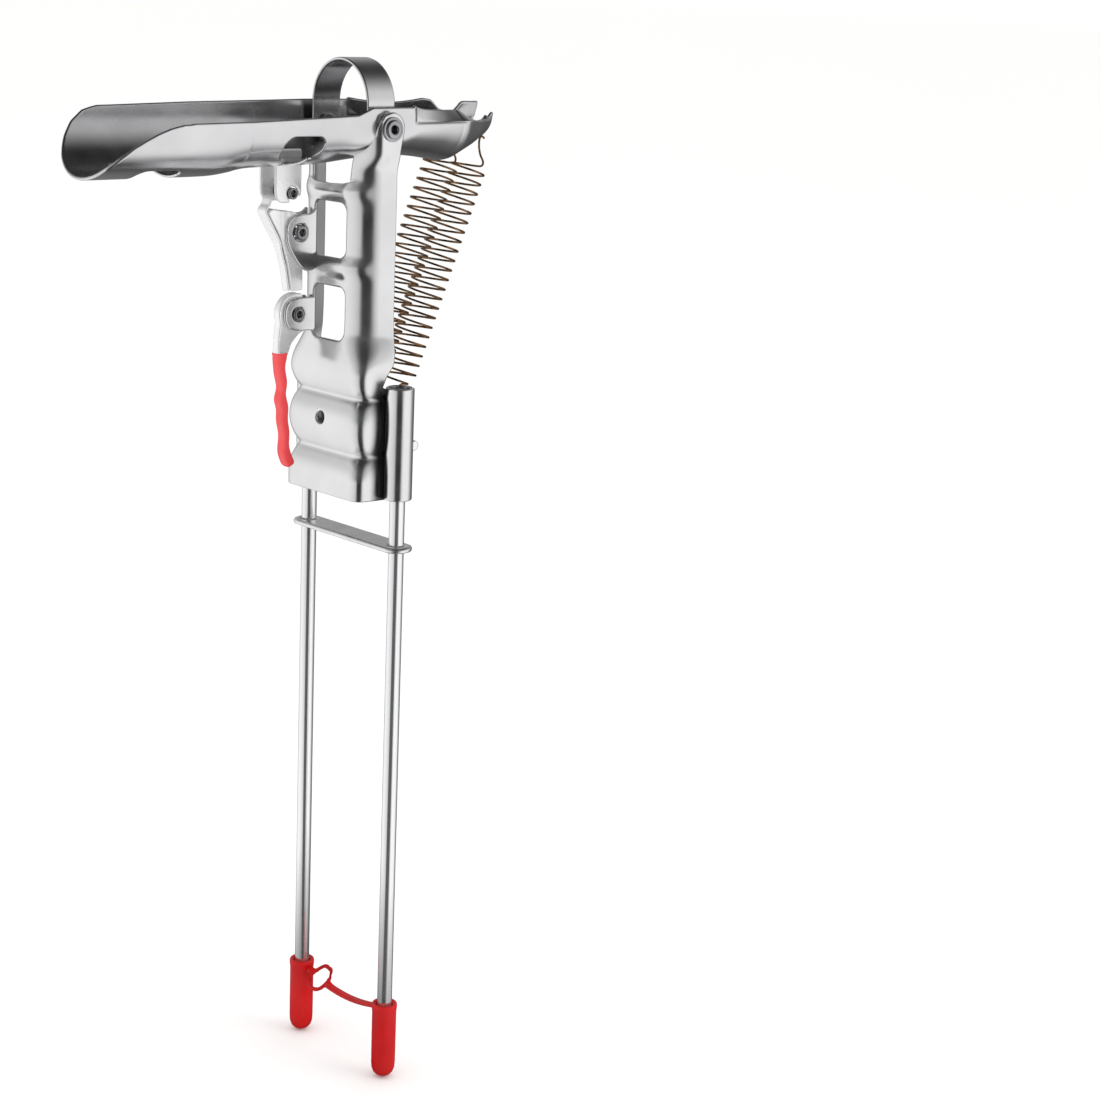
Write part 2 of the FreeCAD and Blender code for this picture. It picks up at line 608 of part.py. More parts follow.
def grip_shape():
    """A slim moulded handle with shallow finger waves that curls in at its foot."""
    x0, z0 = size("trigger_pin_x"), size("trigger_pin_z") - 14.8
    half = size("grip_thick") / 2
    front = [(-8.7, 0.0), (-7.7, -8.4), (-6.1, -13.8), (-7.8, -18.2), (-6.2, -22.4), (-6.5, -26.2),
             (-5.0, -32.3), (-5.7, -38.9), (-3.9, -43.0), (-1.7, -45.8)]
    rear = [(-0.3, -44.6), (-1.1, -40.2), (-2.5, -36.1), (-2.2, -30.6), (-3.2, -25.8), (-2.8, -20.7),
            (-4.5, -15.5), (-3.5, -11.3), (-4.9, -5.4), (-3.4, 0.0)]

    def smooth(points):
        curve = Part.BSplineCurve()
        curve.interpolate([V(x0 + x, LATCH_Y - half, z0 + z) for x, z in points])
        return curve.toShape()

    def line(first, second):
        ends = [V(x0 + x, LATCH_Y - half, z0 + z) for x, z in (first, second)]
        return Part.LineSegment(*ends).toShape()

    outline = Part.Wire([smooth(front), line(front[-1], rear[0]), smooth(rear), line(rear[-1], front[0])])
    grip = Part.Face(outline).extrude(V(0, 2 * half, 0))
    sides = [e for e in grip.Edges if abs(e.tangentAt(e.FirstParameter).y) < 0.5]
    try:
        rounded = grip.makeFillet(0.8, sides)
        if rounded.isValid():
            grip = rounded
    except Part.OCCError:
        pass
    return grip.cut(trigger_lever_shape())


label(solid("TriggerLever", trigger_lever_shape()), "trigger_lever")
label(solid("TriggerGrip", grip_shape()), "trigger_grip")
trigger_pin = rivet_between(size("trigger_pin_x"), size("trigger_pin_z"), size("lever_pin_radius"),
                            size("lever_pin_head"), 0.8, LATCH_Y - ear_half - GAUGE,
                            LATCH_Y + ear_half + GAUGE)
label(solid("TriggerPin", trigger_pin), "trigger_pin")


# ---- springs ---------------------------------------------------------------------------

def spring_shape(y):
    """The envelope of one extension spring: a thin tube with a straight hook wire at each end."""
    wire = size("spring_wire")
    radius = size("spring_radius")
    top = V(size("spring_top_x"), y, size("spring_top_z"))
    foot = V(size("spring_foot_x"), y, size("spring_foot_z"))
    along = top - foot
    coil = Part.makeCylinder(radius, along.Length, foot, along)
    coil = coil.cut(Part.makeCylinder(radius - wire, along.Length, foot, along))
    for place in (foot, top - along.normalize() * wire):
        across = Part.makeCylinder(radius - 0.2, wire, place, top - foot)
        coil = coil.fuse(across.common(Part.makeBox(80, wire * 1.6, 200, V(0, y - wire * 0.8, 250))))
    eye = V(size("tail_eye_x"), y, size("tail_eye_z"))
    hooks = [(top, eye), (foot, V(size("anchor_rod_x") + 3.0, y, size("anchor_rod_z") + 2.0))]
    for start, end in hooks:
        run = end - start
        coil = coil.fuse(Part.makeCylinder(wire / 2, run.Length, start, run))
    return coil


for side, sign in (("left", 1), ("right", -1)):
    label(solid(f"Spring_{side}", spring_shape(sign * size("spring_half_spacing"))), f"spring_{side}")


# ---- tip caps --------------------------------------------------------------------------

def cap_shape(y):
    radius = size("cap_radius")
    length = size("cap_length")
    body = Part.makeCylinder(radius, length, V(0, y, 0))
    body = body.makeFillet(radius * 0.7, [e for e in body.Edges if e.BoundBox.ZMax < 0.1])
    mouth = Part.makeCone(radius, size("cap_mouth_radius"), 2.0, V(0, y, length - 4.0))
    mouth = mouth.fuse(Part.makeCylinder(size("cap_mouth_radius"), 2.0, V(0, y, length - 2.0)))
    body = body.fuse(mouth)
    bore = size("spike_radius") + size("running_gap")
    depth = length - size("spike_point_z") + 0.4
    return body.cut(Part.makeCylinder(bore, depth + 1, V(0, y, size("spike_point_z") - 0.4)))


def strap_shape():
    """The thin strap that ties the caps together: a sagging band with an eye at one end."""
    half = size("spike_half_spacing")
    thick = size("strap_thick")
    width = size("strap_width")
    high = size("cap_length") - 0.8
    sag = 5.0

    def arc(raise_by):
        ends = [V(-width / 2, -half, high + raise_by), V(-width / 2, 0, high - sag + raise_by),
                V(-width / 2, half, high + raise_by)]
        return Part.Arc(*ends).toShape(), ends

    upper, upper_ends = arc(0.0)
    lower, lower_ends = arc(-thick)
    sides = [Part.LineSegment(upper_ends[2], lower_ends[2]).toShape(),
             Part.LineSegment(lower_ends[0], upper_ends[0]).toShape()]
    band = Part.Face(Part.Wire(Part.__sortEdges__([upper, lower] + sides))).extrude(V(width, 0, 0))
    eye = Part.makeCylinder(5.0, 20, V(0, half - 10.6, high - 10))
    eye_floor = Part.makeBox(12, 12, thick, V(-6, half - 16.6, high - 4.6))
    eye = eye.common(eye_floor)
    band = band.fuse(eye).cut(Part.makeCylinder(3.1, 30, V(0, half - 10.6, high - 20)))
    for y in (half, -half):
        band = band.cut(Part.makeCylinder(size("cap_mouth_radius"), 60, V(0, y, high - 30)))
    return band


for side, sign in (("left", 1), ("right", -1)):
    label(solid(f"Cap_{side}", cap_shape(sign * size("spike_half_spacing"))), f"tip_cap_{side}")
label(solid("CapStrap", strap_shape()), "tip_cap_strap")


# ---- check and write -------------------------------------------------------------------

doc.recompute()
for obj in doc.Objects:
    if {"Invalid", "Error"} & set(obj.State):
        raise RuntimeError(f"{obj.Label} failed: {obj.State}")
os.makedirs("parts", exist_ok=True)
for node, obj in NODES.items():
    shape = obj.Shape
    if shape.isNull() or not shape.isValid():
        raise RuntimeError(f"{node} has no valid shape")
    shape.exportStep(f"parts/{node}.step")
    print(f"{node}: {len(shape.Solids)} solid, {shape.Volume:.0f} mm3")
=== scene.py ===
"""Spring-loaded ground-spike rod holder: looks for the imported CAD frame.

Shapes are written in millimetres and built in metres, in the CAD frame: +Z is up and +X runs
from the cradle's nose to its spring tail. Sheet-metal parts are cut out of fine grids that
follow the bent sheet, given their thickness and a rounded edge.
"""
import json
import math
import bpy
import numpy as np
from mathutils import Matrix, Vector

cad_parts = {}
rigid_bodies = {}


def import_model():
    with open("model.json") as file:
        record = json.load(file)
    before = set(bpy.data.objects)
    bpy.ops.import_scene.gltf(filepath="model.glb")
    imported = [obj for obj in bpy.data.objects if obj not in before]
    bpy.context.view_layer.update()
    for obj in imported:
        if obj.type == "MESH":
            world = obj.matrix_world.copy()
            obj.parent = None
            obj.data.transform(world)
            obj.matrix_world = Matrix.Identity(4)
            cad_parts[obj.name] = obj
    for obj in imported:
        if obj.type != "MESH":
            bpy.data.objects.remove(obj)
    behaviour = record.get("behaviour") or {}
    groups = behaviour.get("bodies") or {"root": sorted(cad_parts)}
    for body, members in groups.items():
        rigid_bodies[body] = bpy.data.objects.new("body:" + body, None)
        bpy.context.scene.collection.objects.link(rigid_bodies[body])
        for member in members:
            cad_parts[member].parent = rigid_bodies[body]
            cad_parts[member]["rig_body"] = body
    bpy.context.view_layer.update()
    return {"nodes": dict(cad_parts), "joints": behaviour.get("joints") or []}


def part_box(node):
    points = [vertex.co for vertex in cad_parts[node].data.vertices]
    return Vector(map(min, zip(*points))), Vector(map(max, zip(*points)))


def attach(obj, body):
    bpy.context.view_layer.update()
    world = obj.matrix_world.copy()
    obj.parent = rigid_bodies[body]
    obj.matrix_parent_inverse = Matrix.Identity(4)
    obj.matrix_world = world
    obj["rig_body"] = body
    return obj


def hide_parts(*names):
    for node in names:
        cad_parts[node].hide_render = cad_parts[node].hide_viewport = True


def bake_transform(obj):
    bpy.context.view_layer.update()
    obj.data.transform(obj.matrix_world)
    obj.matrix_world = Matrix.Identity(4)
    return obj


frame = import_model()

MM = 0.001
NODES = frame["nodes"]
JOINTS = {joint["name"]: joint for joint in frame["joints"]}
PIVOT = np.array(JOINTS["cradle_tilt"]["pos_m"]) / MM
GAUGE = 1.2
LEVER_WALL = 0.9
LATCH_Y = 11.8
RIVET_BORE = 2.2
SIDES = (("left", 1), ("right", -1))


def node_middle(name):
    """The middle of a CAD node's box, in millimetres."""
    low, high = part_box(name)
    return np.array((low + high) / 2) / MM


def node_half(name):
    """Half the size of a CAD node's box along each axis, in millimetres."""
    low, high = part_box(name)
    return [(end - start) / MM / 2 for start, end in zip(low, high)]


def side_reach(name):
    """Where a node beside the middle plane starts and ends, in millimetres from that plane."""
    low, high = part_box(name)
    return sorted((abs(low[1]) / MM, abs(high[1]) / MM))


LATCH_PIN = node_middle("latch_pin")
TRIGGER_PIN = node_middle("trigger_pin")
CATCH_PIN = node_middle("catch_pin")
SPIKE_Y = node_middle("ground_spike_left")[1]


# ---- number helpers --------------------------------------------------------------------

def unit(vectors):
    length = np.linalg.norm(vectors, axis=-1, keepdims=True)
    return vectors / np.maximum(length, 1e-12)


def points_at(x, y, z):
    """Points from coordinates that share one grid."""
    return np.stack(np.broadcast_arrays(x, y, z), -1)


def ramp(value, low, high):
    """0 below low, 1 above high, with a smooth step between them."""
    t = np.clip((np.asarray(value, float) - low) / (high - low), 0.0, 1.0)
    return t * t * (3 - 2 * t)


def blurred(rows, sigma, axis):
    """Rows of points smoothed along one axis by a bell of sigma samples, ends kept."""
    reach = int(3 * sigma) + 1
    weights = np.exp(-0.5 * (np.arange(-reach, reach + 1) / sigma) ** 2)
    weights = weights / weights.sum()
    moved = np.moveaxis(rows, axis, 0)
    first, last = moved[:1], moved[-1:]
    before = 2 * first - moved[1:reach + 1][::-1]
    after = 2 * last - moved[-reach - 1:-1][::-1]
    padded = np.concatenate([before, moved, after], axis=0)
    result = np.zeros_like(moved)
    for offset, weight in enumerate(weights):
        result += weight * padded[offset:offset + len(moved)]
    return np.moveaxis(result, 0, axis)


def rounded_box(a, b, middle, half, radius):
    """Distance inside a rounded rectangle: positive inside, negative outside."""
    da = np.abs(a - middle[0]) - half[0] + radius
    db = np.abs(b - middle[1]) - half[1] + radius
    outside = np.hypot(np.maximum(da, 0), np.maximum(db, 0))
    return radius - outside - np.minimum(np.maximum(da, db), 0)


def inside_polygon(a, b, corners):
    """Distance to a closed outline: positive inside, negative outside."""
    corners = np.array(corners, float)
    nearest = np.full(a.shape, 1e9)
    inside = np.zeros(a.shape, bool)
    for first, second in zip(corners, np.roll(corners, -1, axis=0)):
        edge = second - first
        pa, pb = a - first[0], b - first[1]
        t = np.clip((pa * edge[0] + pb * edge[1]) / max(edge @ edge, 1e-12), 0, 1)
        nearest = np.minimum(nearest, np.hypot(pa - t * edge[0], pb - t * edge[1]))
        crosses = (first[1] > b) != (second[1] > b)
        rise = edge[1] if abs(edge[1]) > 1e-9 else 1e-9
        inside ^= crosses & (a < first[0] + (b - first[1]) * edge[0] / rise)
    return np.where(inside, nearest, -nearest)


def bend(start, corner, end, steps):
    """Points on a smooth bend from start to end, pulled towards corner."""
    return [(1 - t) ** 2 * start + 2 * t * (1 - t) * corner + t ** 2 * end
            for t in np.linspace(0, 1, steps)]


def rounded_outline(corners, radius, steps=6):
    """A polygon whose corners are rounded, each by its own radius if radius is a list."""
    corners = [np.array(c, float) for c in corners]
    radii = radius if isinstance(radius, (list, tuple)) else [radius] * len(corners)
    outline = []
    for index, corner in enumerate(corners):
        before = corners[index - 1] - corner
        after = corners[(index + 1) % len(corners)] - corner
        reach = min(radii[index], 0.49 * np.linalg.norm(before), 0.49 * np.linalg.norm(after))
        start = corner + unit(before) * reach
        end = corner + unit(after) * reach
        outline += bend(start, corner, end, steps)
    return outline


# ---- mesh builders ---------------------------------------------------------------------

def mesh_object(name, points, faces, body, slot_name, material):
    """A smooth-shaded piece from points in millimetres, riding on a CAD body."""
    mesh = bpy.data.meshes.new(name)
    mesh.from_pydata((np.asarray(points) * MM).tolist(), [], faces)
    mesh.polygons.foreach_set("use_smooth", [True] * len(mesh.polygons))
    mesh.materials.append(material)
    mesh.update()
    piece = bpy.data.objects.new(name, mesh)
    bpy.context.scene.collection.objects.link(piece)
    if body:
        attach(piece, body)
    return piece


def merged(parts):
    """Several (points, faces) lists as one."""
    points, faces, shift = [], [], 0
    for part_points, part_faces in parts:
        points.append(np.asarray(part_points))
        faces += [tuple(index + shift for index in face) for face in part_faces]
        shift += len(part_points)
    return np.concatenate(points), faces


SHORTEST_CUT = 0.03


def clipped_grid(grid, normals, field):
    """The quads and cut triangles of a grid where field is positive."""
    rows, columns = field.shape
    points = grid.reshape(-1, 3)
    outward = normals.reshape(-1, 3)
    level = field.reshape(-1)
    inside = level > 0
    index = np.arange(rows * columns).reshape(rows, columns)
    quads = np.stack([index[:-1, :-1], index[1:, :-1], index[1:, 1:], index[:-1, 1:]], -1)
    quads = quads.reshape(-1, 4)
    kept = inside[quads].sum(1)
    faces = [tuple(q) for q in quads[kept == 4].tolist()]
    new_points, new_normals, cut_at = [], [], {}

    def cut(a, b):
        key = (min(a, b), max(a, b))
        if key not in cut_at:
            low, high = key
            t = level[low] / (level[low] - level[high])
            t = min(max(t, SHORTEST_CUT), 1 - SHORTEST_CUT)
            cut_at[key] = len(points) + len(new_points)
            new_points.append(points[low] * (1 - t) + points[high] * t)
            new_normals.append(outward[low] * (1 - t) + outward[high] * t)
        return cut_at[key]

    for quad in quads[(kept > 0) & (kept < 4)].tolist():
        ring = []
        for a, b in zip(quad, quad[1:] + quad[:1]):
            if inside[a]:
                ring.append(a)
            if inside[a] != inside[b]:
                ring.append(cut(a, b))
        opposite = inside[quad[0]] == inside[quad[2]] and inside[quad[1]] == inside[quad[3]]
        if opposite and len(ring) == 6:
            continue
        if len(ring) >= 3:
            faces.append(tuple(ring))
    if new_points:
        points = np.concatenate([points, np.array(new_points)])
        outward = unit(np.concatenate([outward, np.array(new_normals)]))
    used = sorted({i for face in faces for i in face})
    lookup = {old: new for new, old in enumerate(used)}
    faces = [tuple(lookup[i] for i in face) for face in faces]
    return points[used], outward[used], faces


def thickened(points, outward, faces, thick, lip_steps=3):
    """A sheet with thickness: outer face, inner face and a rounded lip along every free edge."""
    count = len(points)
    directed = set()
    for face in faces:
        directed.update(zip(face, face[1:] + face[:1]))
    free = sorted(edge for edge in directed if (edge[1], edge[0]) not in directed)
    away = np.zeros((count, 3))
    if free:
        starts = np.array([a for a, _ in free])
        ends = np.array([b for _, b in free])
        along = unit(points[ends] - points[starts])
        for side in (starts, ends):
            np.add.at(away, side, np.cross(along, outward[side]))
    away = unit(away)
    parts = [points, points - outward * thick]
    all_faces = list(faces) + [tuple(i + count for i in reversed(face)) for face in faces]
    on_rim = sorted({i for edge in free for i in edge})
    place = {old: new for new, old in enumerate(on_rim)}
    middle = points[on_rim] - outward[on_rim] * thick / 2
    starts_at = 2 * count
    rings = [lambda i: i]
    for step in range(1, lip_steps + 1):
        angle = math.pi * step / (lip_steps + 1)
        lift = math.cos(angle) * outward[on_rim] + math.sin(angle) * away[on_rim]
        parts.append(middle + lift * thick / 2)
        rings.append(lambda i, base=starts_at: base + place[i])
        starts_at += len(on_rim)
    rings.append(lambda i: i + count)
    for a, b in free:
        for upper, lower in zip(rings, rings[1:]):
            all_faces.append((upper(b), upper(a), lower(a), lower(b)))
    return np.concatenate(parts), all_faces


def grid_normals(grid):
    """Normals of a grid: along its rows' axis cross along its columns' axis."""
    return unit(np.cross(np.gradient(grid, axis=0), np.gradient(grid, axis=1)))


def sheet_part(grid, field, thick=GAUGE, flip=False):
    """A sheet whose outer side faces rows cross columns, or the other way if flipped.

    The field is drawn in by half the thickness, so the rounded rim ends where the field is zero.
    """
    if flip:
        grid = grid[:, ::-1]
        field = field[:, ::-1]
    return thickened(*clipped_grid(grid, grid_normals(grid), field - thick / 2), thick)


def plate(a_range, b_range, step, field_of, place, thick, flip=False):
    """A flat plate: field_of(a, b) says where metal is, place(a, b) puts it in space."""
    a, b = np.meshgrid(np.arange(a_range[0], a_range[1] + step, step),
                       np.arange(b_range[0], b_range[1] + step, step), indexing="ij")
    return sheet_part(place(a, b), field_of(a, b), thick, flip)


def ranges_round(outline, margin):
    """The two ranges that hold an outline and a margin round it."""
    low = np.min(outline, axis=0) - margin
    high = np.max(outline, axis=0) + margin
    return (low[0], high[0]), (low[1], high[1])


def y_plate(corners, y_outer, thick, radius, holes=(), step=0.3, towards=-1):
    """A flat plate in an XZ plane; its outer face looks along towards * Y at y_outer."""
    outline = rounded_outline(corners, radius)

    def metal(x, z):
        field = inside_polygon(x, z, outline)
        for hole_x, hole_z, hole_radius in holes:
            field = np.minimum(field, np.hypot(x - hole_x, z - hole_z) - hole_radius)
        return field

    def place(x, z):
        return points_at(x, y_outer, z)

    return plate(*ranges_round(outline, step), step, metal, place, thick, flip=towards > 0)


def plate_pair(corners, offset, thick, radius, hole):
    """Two like plates whose outer faces stand offset to either side of the latch's plane."""
    return [y_plate(corners, LATCH_Y + towards * offset, thick, radius, [hole], towards=towards)
            for towards in (-1, 1)]


def tube_faces(rows, sides, inward=False):
    """The quads of a tube made of rows of rings."""
    faces = []
    for row in range(rows - 1):
        for k in range(sides):
            a, b = row * sides + k, row * sides + (k + 1) % sides
            faces.append((a, a + sides, b + sides, b) if inward else (a, b, b + sides, a + sides))
    return faces


def turned(profile, centre, axis, segments=72, rounds=0):
    """A turned part: (radius, height) rings round an axis through centre."""
    axis = unit(np.array(axis, float))
    side = unit(np.cross(axis, (0.3, 0.9, 0.1) if abs(axis[1]) < 0.9 else (1.0, 0.0, 0.2)))
    other = np.cross(axis, side)
    rings = rounded_profile(profile, rounds) if rounds else [np.array(p, float) for p in profile]
    angles = np.linspace(0, 2 * math.pi, segments, endpoint=False)
    around = np.outer(np.cos(angles), side) + np.outer(np.sin(angles), other)
    points = [np.array(centre) + axis * height + max(radius, 1e-4) * around
              for radius, height in rings]
    return np.concatenate(points), tube_faces(len(rings), segments)


def rounded_profile(profile, radius, steps=5):
    """An open profile whose inner corners are rounded; straight runs get support points."""
    profile = [np.array(p, float) for p in profile]
    rings = [profile[0]]
    for before, corner, after in zip(profile, profile[1:], profile[2:]):
        back, ahead = before - corner, after - corner
        reach = min(radius, 0.45 * np.linalg.norm(back), 0.45 * np.linalg.norm(ahead))
        start = corner + unit(back) * reach
        end = corner + unit(ahead) * reach
        rings.append(start + unit(back) * reach * 0.1)
        rings += bend(start, corner, end, steps)
        rings.append(end + unit(ahead) * reach * 0.1)
    rings.append(profile[-1])
    return rings


def swept(path, radius, sides):
    """A round wire along a path of points."""
    tangents = unit(np.gradient(path, axis=0))
    normal = unit(np.cross(tangents[0], (0.12, 0.97, 0.2)))
    angles = np.linspace(0, 2 * math.pi, sides, endpoint=False)
    points = []
    for place, tangent in zip(path, tangents):
        normal = unit(normal - tangent * (normal @ tangent))
        across = np.cross(tangent, normal)
        ring = np.outer(np.cos(angles), normal) + np.outer(np.sin(angles), across)
        points.append(place + radius * ring)
    faces = tube_faces(len(path), sides)
    last = (len(path) - 1) * sides
    faces.append(tuple(reversed(range(sides))))
    faces.append(tuple(range(last, last + sides)))
    return np.concatenate(points), faces


# ---- materials -------------------------------------------------------------------------

def add_node(tree, kind, values=None, links=None, **settings):
    """A new node with its own settings, its sockets' values and its incoming links."""
    node = tree.nodes.new(kind)
    for name, value in settings.items():
        setattr(node, name, value)
    for socket, value in (values or {}).items():
        node.inputs[socket].default_value = value
    for socket, output in (links or {}).items():
        tree.links.new(output, node.inputs[socket])
    return node


def range_node(tree, source, from_low, from_high, low=0.0, high=1.0, **settings):
    """The output of a node that maps one range of values to another."""
    values = {"From Min": from_low, "From Max": from_high, "To Min": low, "To Max": high}
    return add_node(tree, "ShaderNodeMapRange", values, {"Value": source}, **settings).outputs["Result"]


NOISE_LOW = 0.3
NOISE_HIGH = 0.7


class Finish:
    """A node material built up step by step round one Principled shader."""

    def __init__(self, name, colour, metallic=0.0):
        self.material = bpy.data.materials.new(name)
        self.material.use_nodes = True
        self.tree = self.material.node_tree
        self.shader = self.tree.nodes["Principled BSDF"]
        self.shader.inputs["Base Color"].default_value = (*colour, 1)
        self.shader.inputs["Metallic"].default_value = metallic
        self.shader.inputs["Roughness"].default_value = 0.4
        self.place = self.tree.nodes.new("ShaderNodeTexCoord").outputs["Object"]

    def drive(self, output, socket):
        self.tree.links.new(output, self.shader.inputs[socket])

    def noise(self, scale, detail=3.0, stretch=(1, 1, 1)):
        """Noise over the object's own coordinates, stretched along any axis."""
        mapping = add_node(self.tree, "ShaderNodeMapping", {"Scale": stretch}, {"Vector": self.place})
        noise = add_node(self.tree, "ShaderNodeTexNoise", {"Scale": scale, "Detail": detail},
                         {"Vector": mapping.outputs["Vector"]})
        return noise.outputs["Fac"]

    def roughness_from(self, source, low, high):
        self.drive(range_node(self.tree, source, NOISE_LOW, NOISE_HIGH, low, high), "Roughness")

    def colour_from(self, source, first, second):
        chart = add_node(self.tree, "ShaderNodeValToRGB", links={"Fac": source})
        for stop, position, colour in zip(chart.color_ramp.elements, (NOISE_LOW, NOISE_HIGH),
                                          (first, second)):
            stop.position = position
            stop.color = (*colour, 1)
        self.drive(chart.outputs["Color"], "Base Color")

    def bump_from(self, source, distance, strength, under=None):
        links = {"Height": source}
        if under is not None:
            links["Normal"] = under
        bump = add_node(self.tree, "ShaderNodeBump", {"Distance": distance, "Strength": strength}, links)
        self.drive(bump.outputs["Normal"], "Normal")
        return bump.outputs["Normal"]


def steel(name, bright, dim, rough_low, rough_high, grain, ripple, stretch=(1, 1, 1), metallic=1.0):
    """Polished sheet steel: faint rolling ripple, fine grain, patchy gloss, tiny scratches."""
    finish = Finish(name, bright, metallic=metallic)
    patches = finish.noise(38, 4, stretch)
    finish.colour_from(patches, dim, bright)
    finish.roughness_from(finish.noise(90, 5, stretch), rough_low, rough_high)
    waves = finish.bump_from(finish.noise(55, 1.5), ripple, 0.6)
    fine = finish.bump_from(finish.noise(900, 3, (1, 1, 14)), grain, 0.35, waves)
    scratches = range_node(finish.tree, finish.noise(420, 2, (14, 1, 1)), 0.66, 0.72)
    finish.bump_from(scratches, grain, 0.10, fine)
    return finish.material


def paint_lower_flank_shade(material):
    """Painted shade: a dark band mixed into the colour down the lower flanks, standing in for their
    darker reflection, that fades in beside the sleeves.
    """
    tree = material.node_tree
    place = add_node(tree, "ShaderNodeTexCoord").outputs["Object"]
    split = add_node(tree, "ShaderNodeSeparateXYZ", links={"Vector": place})
    across = add_node(tree, "ShaderNodeMath", links={0: split.outputs["Y"]}, operation="ABSOLUTE")
    # metres where each edge of the band starts to show and is full
    edges = ((split.outputs["Z"], 0.292, 0.280), (across.outputs["Value"], 0.0200, 0.0225),
             (across.outputs["Value"], 0.0262, 0.0250), (split.outputs["X"], -0.0110, -0.0065))
    shade = None
    for output, start, full in edges:
        edge = range_node(tree, output, start, full, interpolation_type="SMOOTHSTEP")
        if shade is None:
            shade = edge
        else:
            both = add_node(tree, "ShaderNodeMath", links={0: shade, 1: edge}, operation="MULTIPLY")
            shade = both.outputs["Value"]
    colour = tree.nodes["Principled BSDF"].inputs["Base Color"]
    # painted shade: this dark grey is mixed into the steel's own colour inside the band
    mix = add_node(tree, "ShaderNodeMixRGB", {"Color2": (0.10, 0.10, 0.105, 1)},
                   {"Fac": shade, "Color1": colour.links[0].from_socket})
    tree.links.new(mix.outputs["Color"], colour)


def make_materials():
    made = {}
    made["sheet"] = steel("stamped_stainless", (0.84, 0.84, 0.85), (0.75, 0.75, 0.76),
                          0.16, 0.26, 0.000012, 0.00006)
    # painted shade down the stand's lower flanks
    paint_lower_flank_shade(made["sheet"])
    made["cradle"] = steel("drawn_stainless", (0.77, 0.77, 0.78), (0.67, 0.67, 0.68),
                           0.15, 0.24, 0.000012, 0.00005)
    # painted shade: a darker copy of the drawn steel for the trough's inner faces; its gloss is also
    # rougher
    made["cradle_inside"] = steel("shaded_satin_inside", (0.56, 0.56, 0.57), (0.46, 0.46, 0.47),
                                  0.20, 0.30, 0.00002, 0.00005)
    made["bar"] = steel("flat_bar_steel", (0.90, 0.90, 0.90), (0.80, 0.80, 0.81),
                        0.24, 0.36, 0.00002, 0.00003, (1, 3, 1))
    made["lever"] = steel("plated_lever", (0.93, 0.93, 0.93), (0.86, 0.86, 0.86),
                          0.18, 0.30, 0.00001, 0.00004, metallic=0.6)
    made["fastener"] = steel("plated_fastener", (0.50, 0.50, 0.51), (0.32, 0.32, 0.33),
                             0.12, 0.24, 0.00001, 0.00002)
    chrome = Finish("chromed_spike", (0.9, 0.9, 0.91), metallic=0.92)
    chrome.colour_from(chrome.noise(30, 3, (1, 1, 0.2)), (0.88, 0.88, 0.90), (0.95, 0.95, 0.95))
    chrome.roughness_from(chrome.noise(160, 4, (1, 1, 0.15)), 0.035, 0.10)
    chrome.bump_from(chrome.noise(700, 2, (6, 6, 0.4)), 0.000008, 0.25)
    made["chrome"] = chrome.material

    wire = Finish("tempered_spring_wire", (0.30, 0.16, 0.07), metallic=0.9)
    wire.colour_from(wire.noise(260, 3), (0.045, 0.018, 0.008), (0.34, 0.17, 0.065))
    wire.roughness_from(wire.noise(500, 3), 0.18, 0.38)
    wire.bump_from(wire.noise(1500, 2), 0.00001, 0.3)
    made["wire"] = wire.material

    vinyl = Finish("dipped_vinyl_cap", (0.62, 0.01, 0.012))
    vinyl.colour_from(vinyl.noise(45, 3), (0.42, 0.003, 0.004), (0.58, 0.006, 0.006))
    vinyl.roughness_from(vinyl.noise(120, 4), 0.26, 0.40)
    dips = vinyl.bump_from(vinyl.noise(60, 2, (1, 1, 0.5)), 0.0002, 0.5)
    vinyl.bump_from(vinyl.noise(1400, 2), 0.00002, 0.25, dips)
    vinyl.shader.inputs["Specular IOR Level"].default_value = 0.3
    made["vinyl"] = vinyl.material

    grip = Finish("moulded_grip", (0.84, 0.055, 0.06))
    grip.colour_from(grip.noise(70, 3), (0.78, 0.045, 0.052), (0.88, 0.07, 0.075))
    grip.roughness_from(grip.noise(200, 4), 0.34, 0.50)
    grip.bump_from(grip.noise(1800, 3), 0.00003, 0.35)
    made["grip"] = grip.material
    return made


MATERIALS = make_materials()


# ---- rod cradle ------------------------------------------------------------------------

TAIL_START = 13.0
# x from the pivot, height of the walls' lower end, half width, depth of the round bottom
TROUGH = np.array([
    (-122.0, 3.0, 21.4, 20.6),
    (-66.0, 3.0, 21.4, 20.4),
    (-54.0, 3.0, 21.4, 17.8),
    (-30.0, 2.4, 21.4, 16.8),
    (-16.0, 1.8, 21.3, 15.6),
    (-9.0, -2.6, 21.0, 10.0),
    (9.0, -2.6, 21.0, 8.4),
    (16.0, 0.4, 21.3, 11.4),
    (30.0, 2.0, 21.0, 14.2),
    (41.0, 2.2, 20.4, 16.2),
    (52.0, 1.5, 15.2, 10.8),
    (59.0, 1.5, 10.8, 7.4),
    (69.0, 1.5, 5.2, 3.6),
])
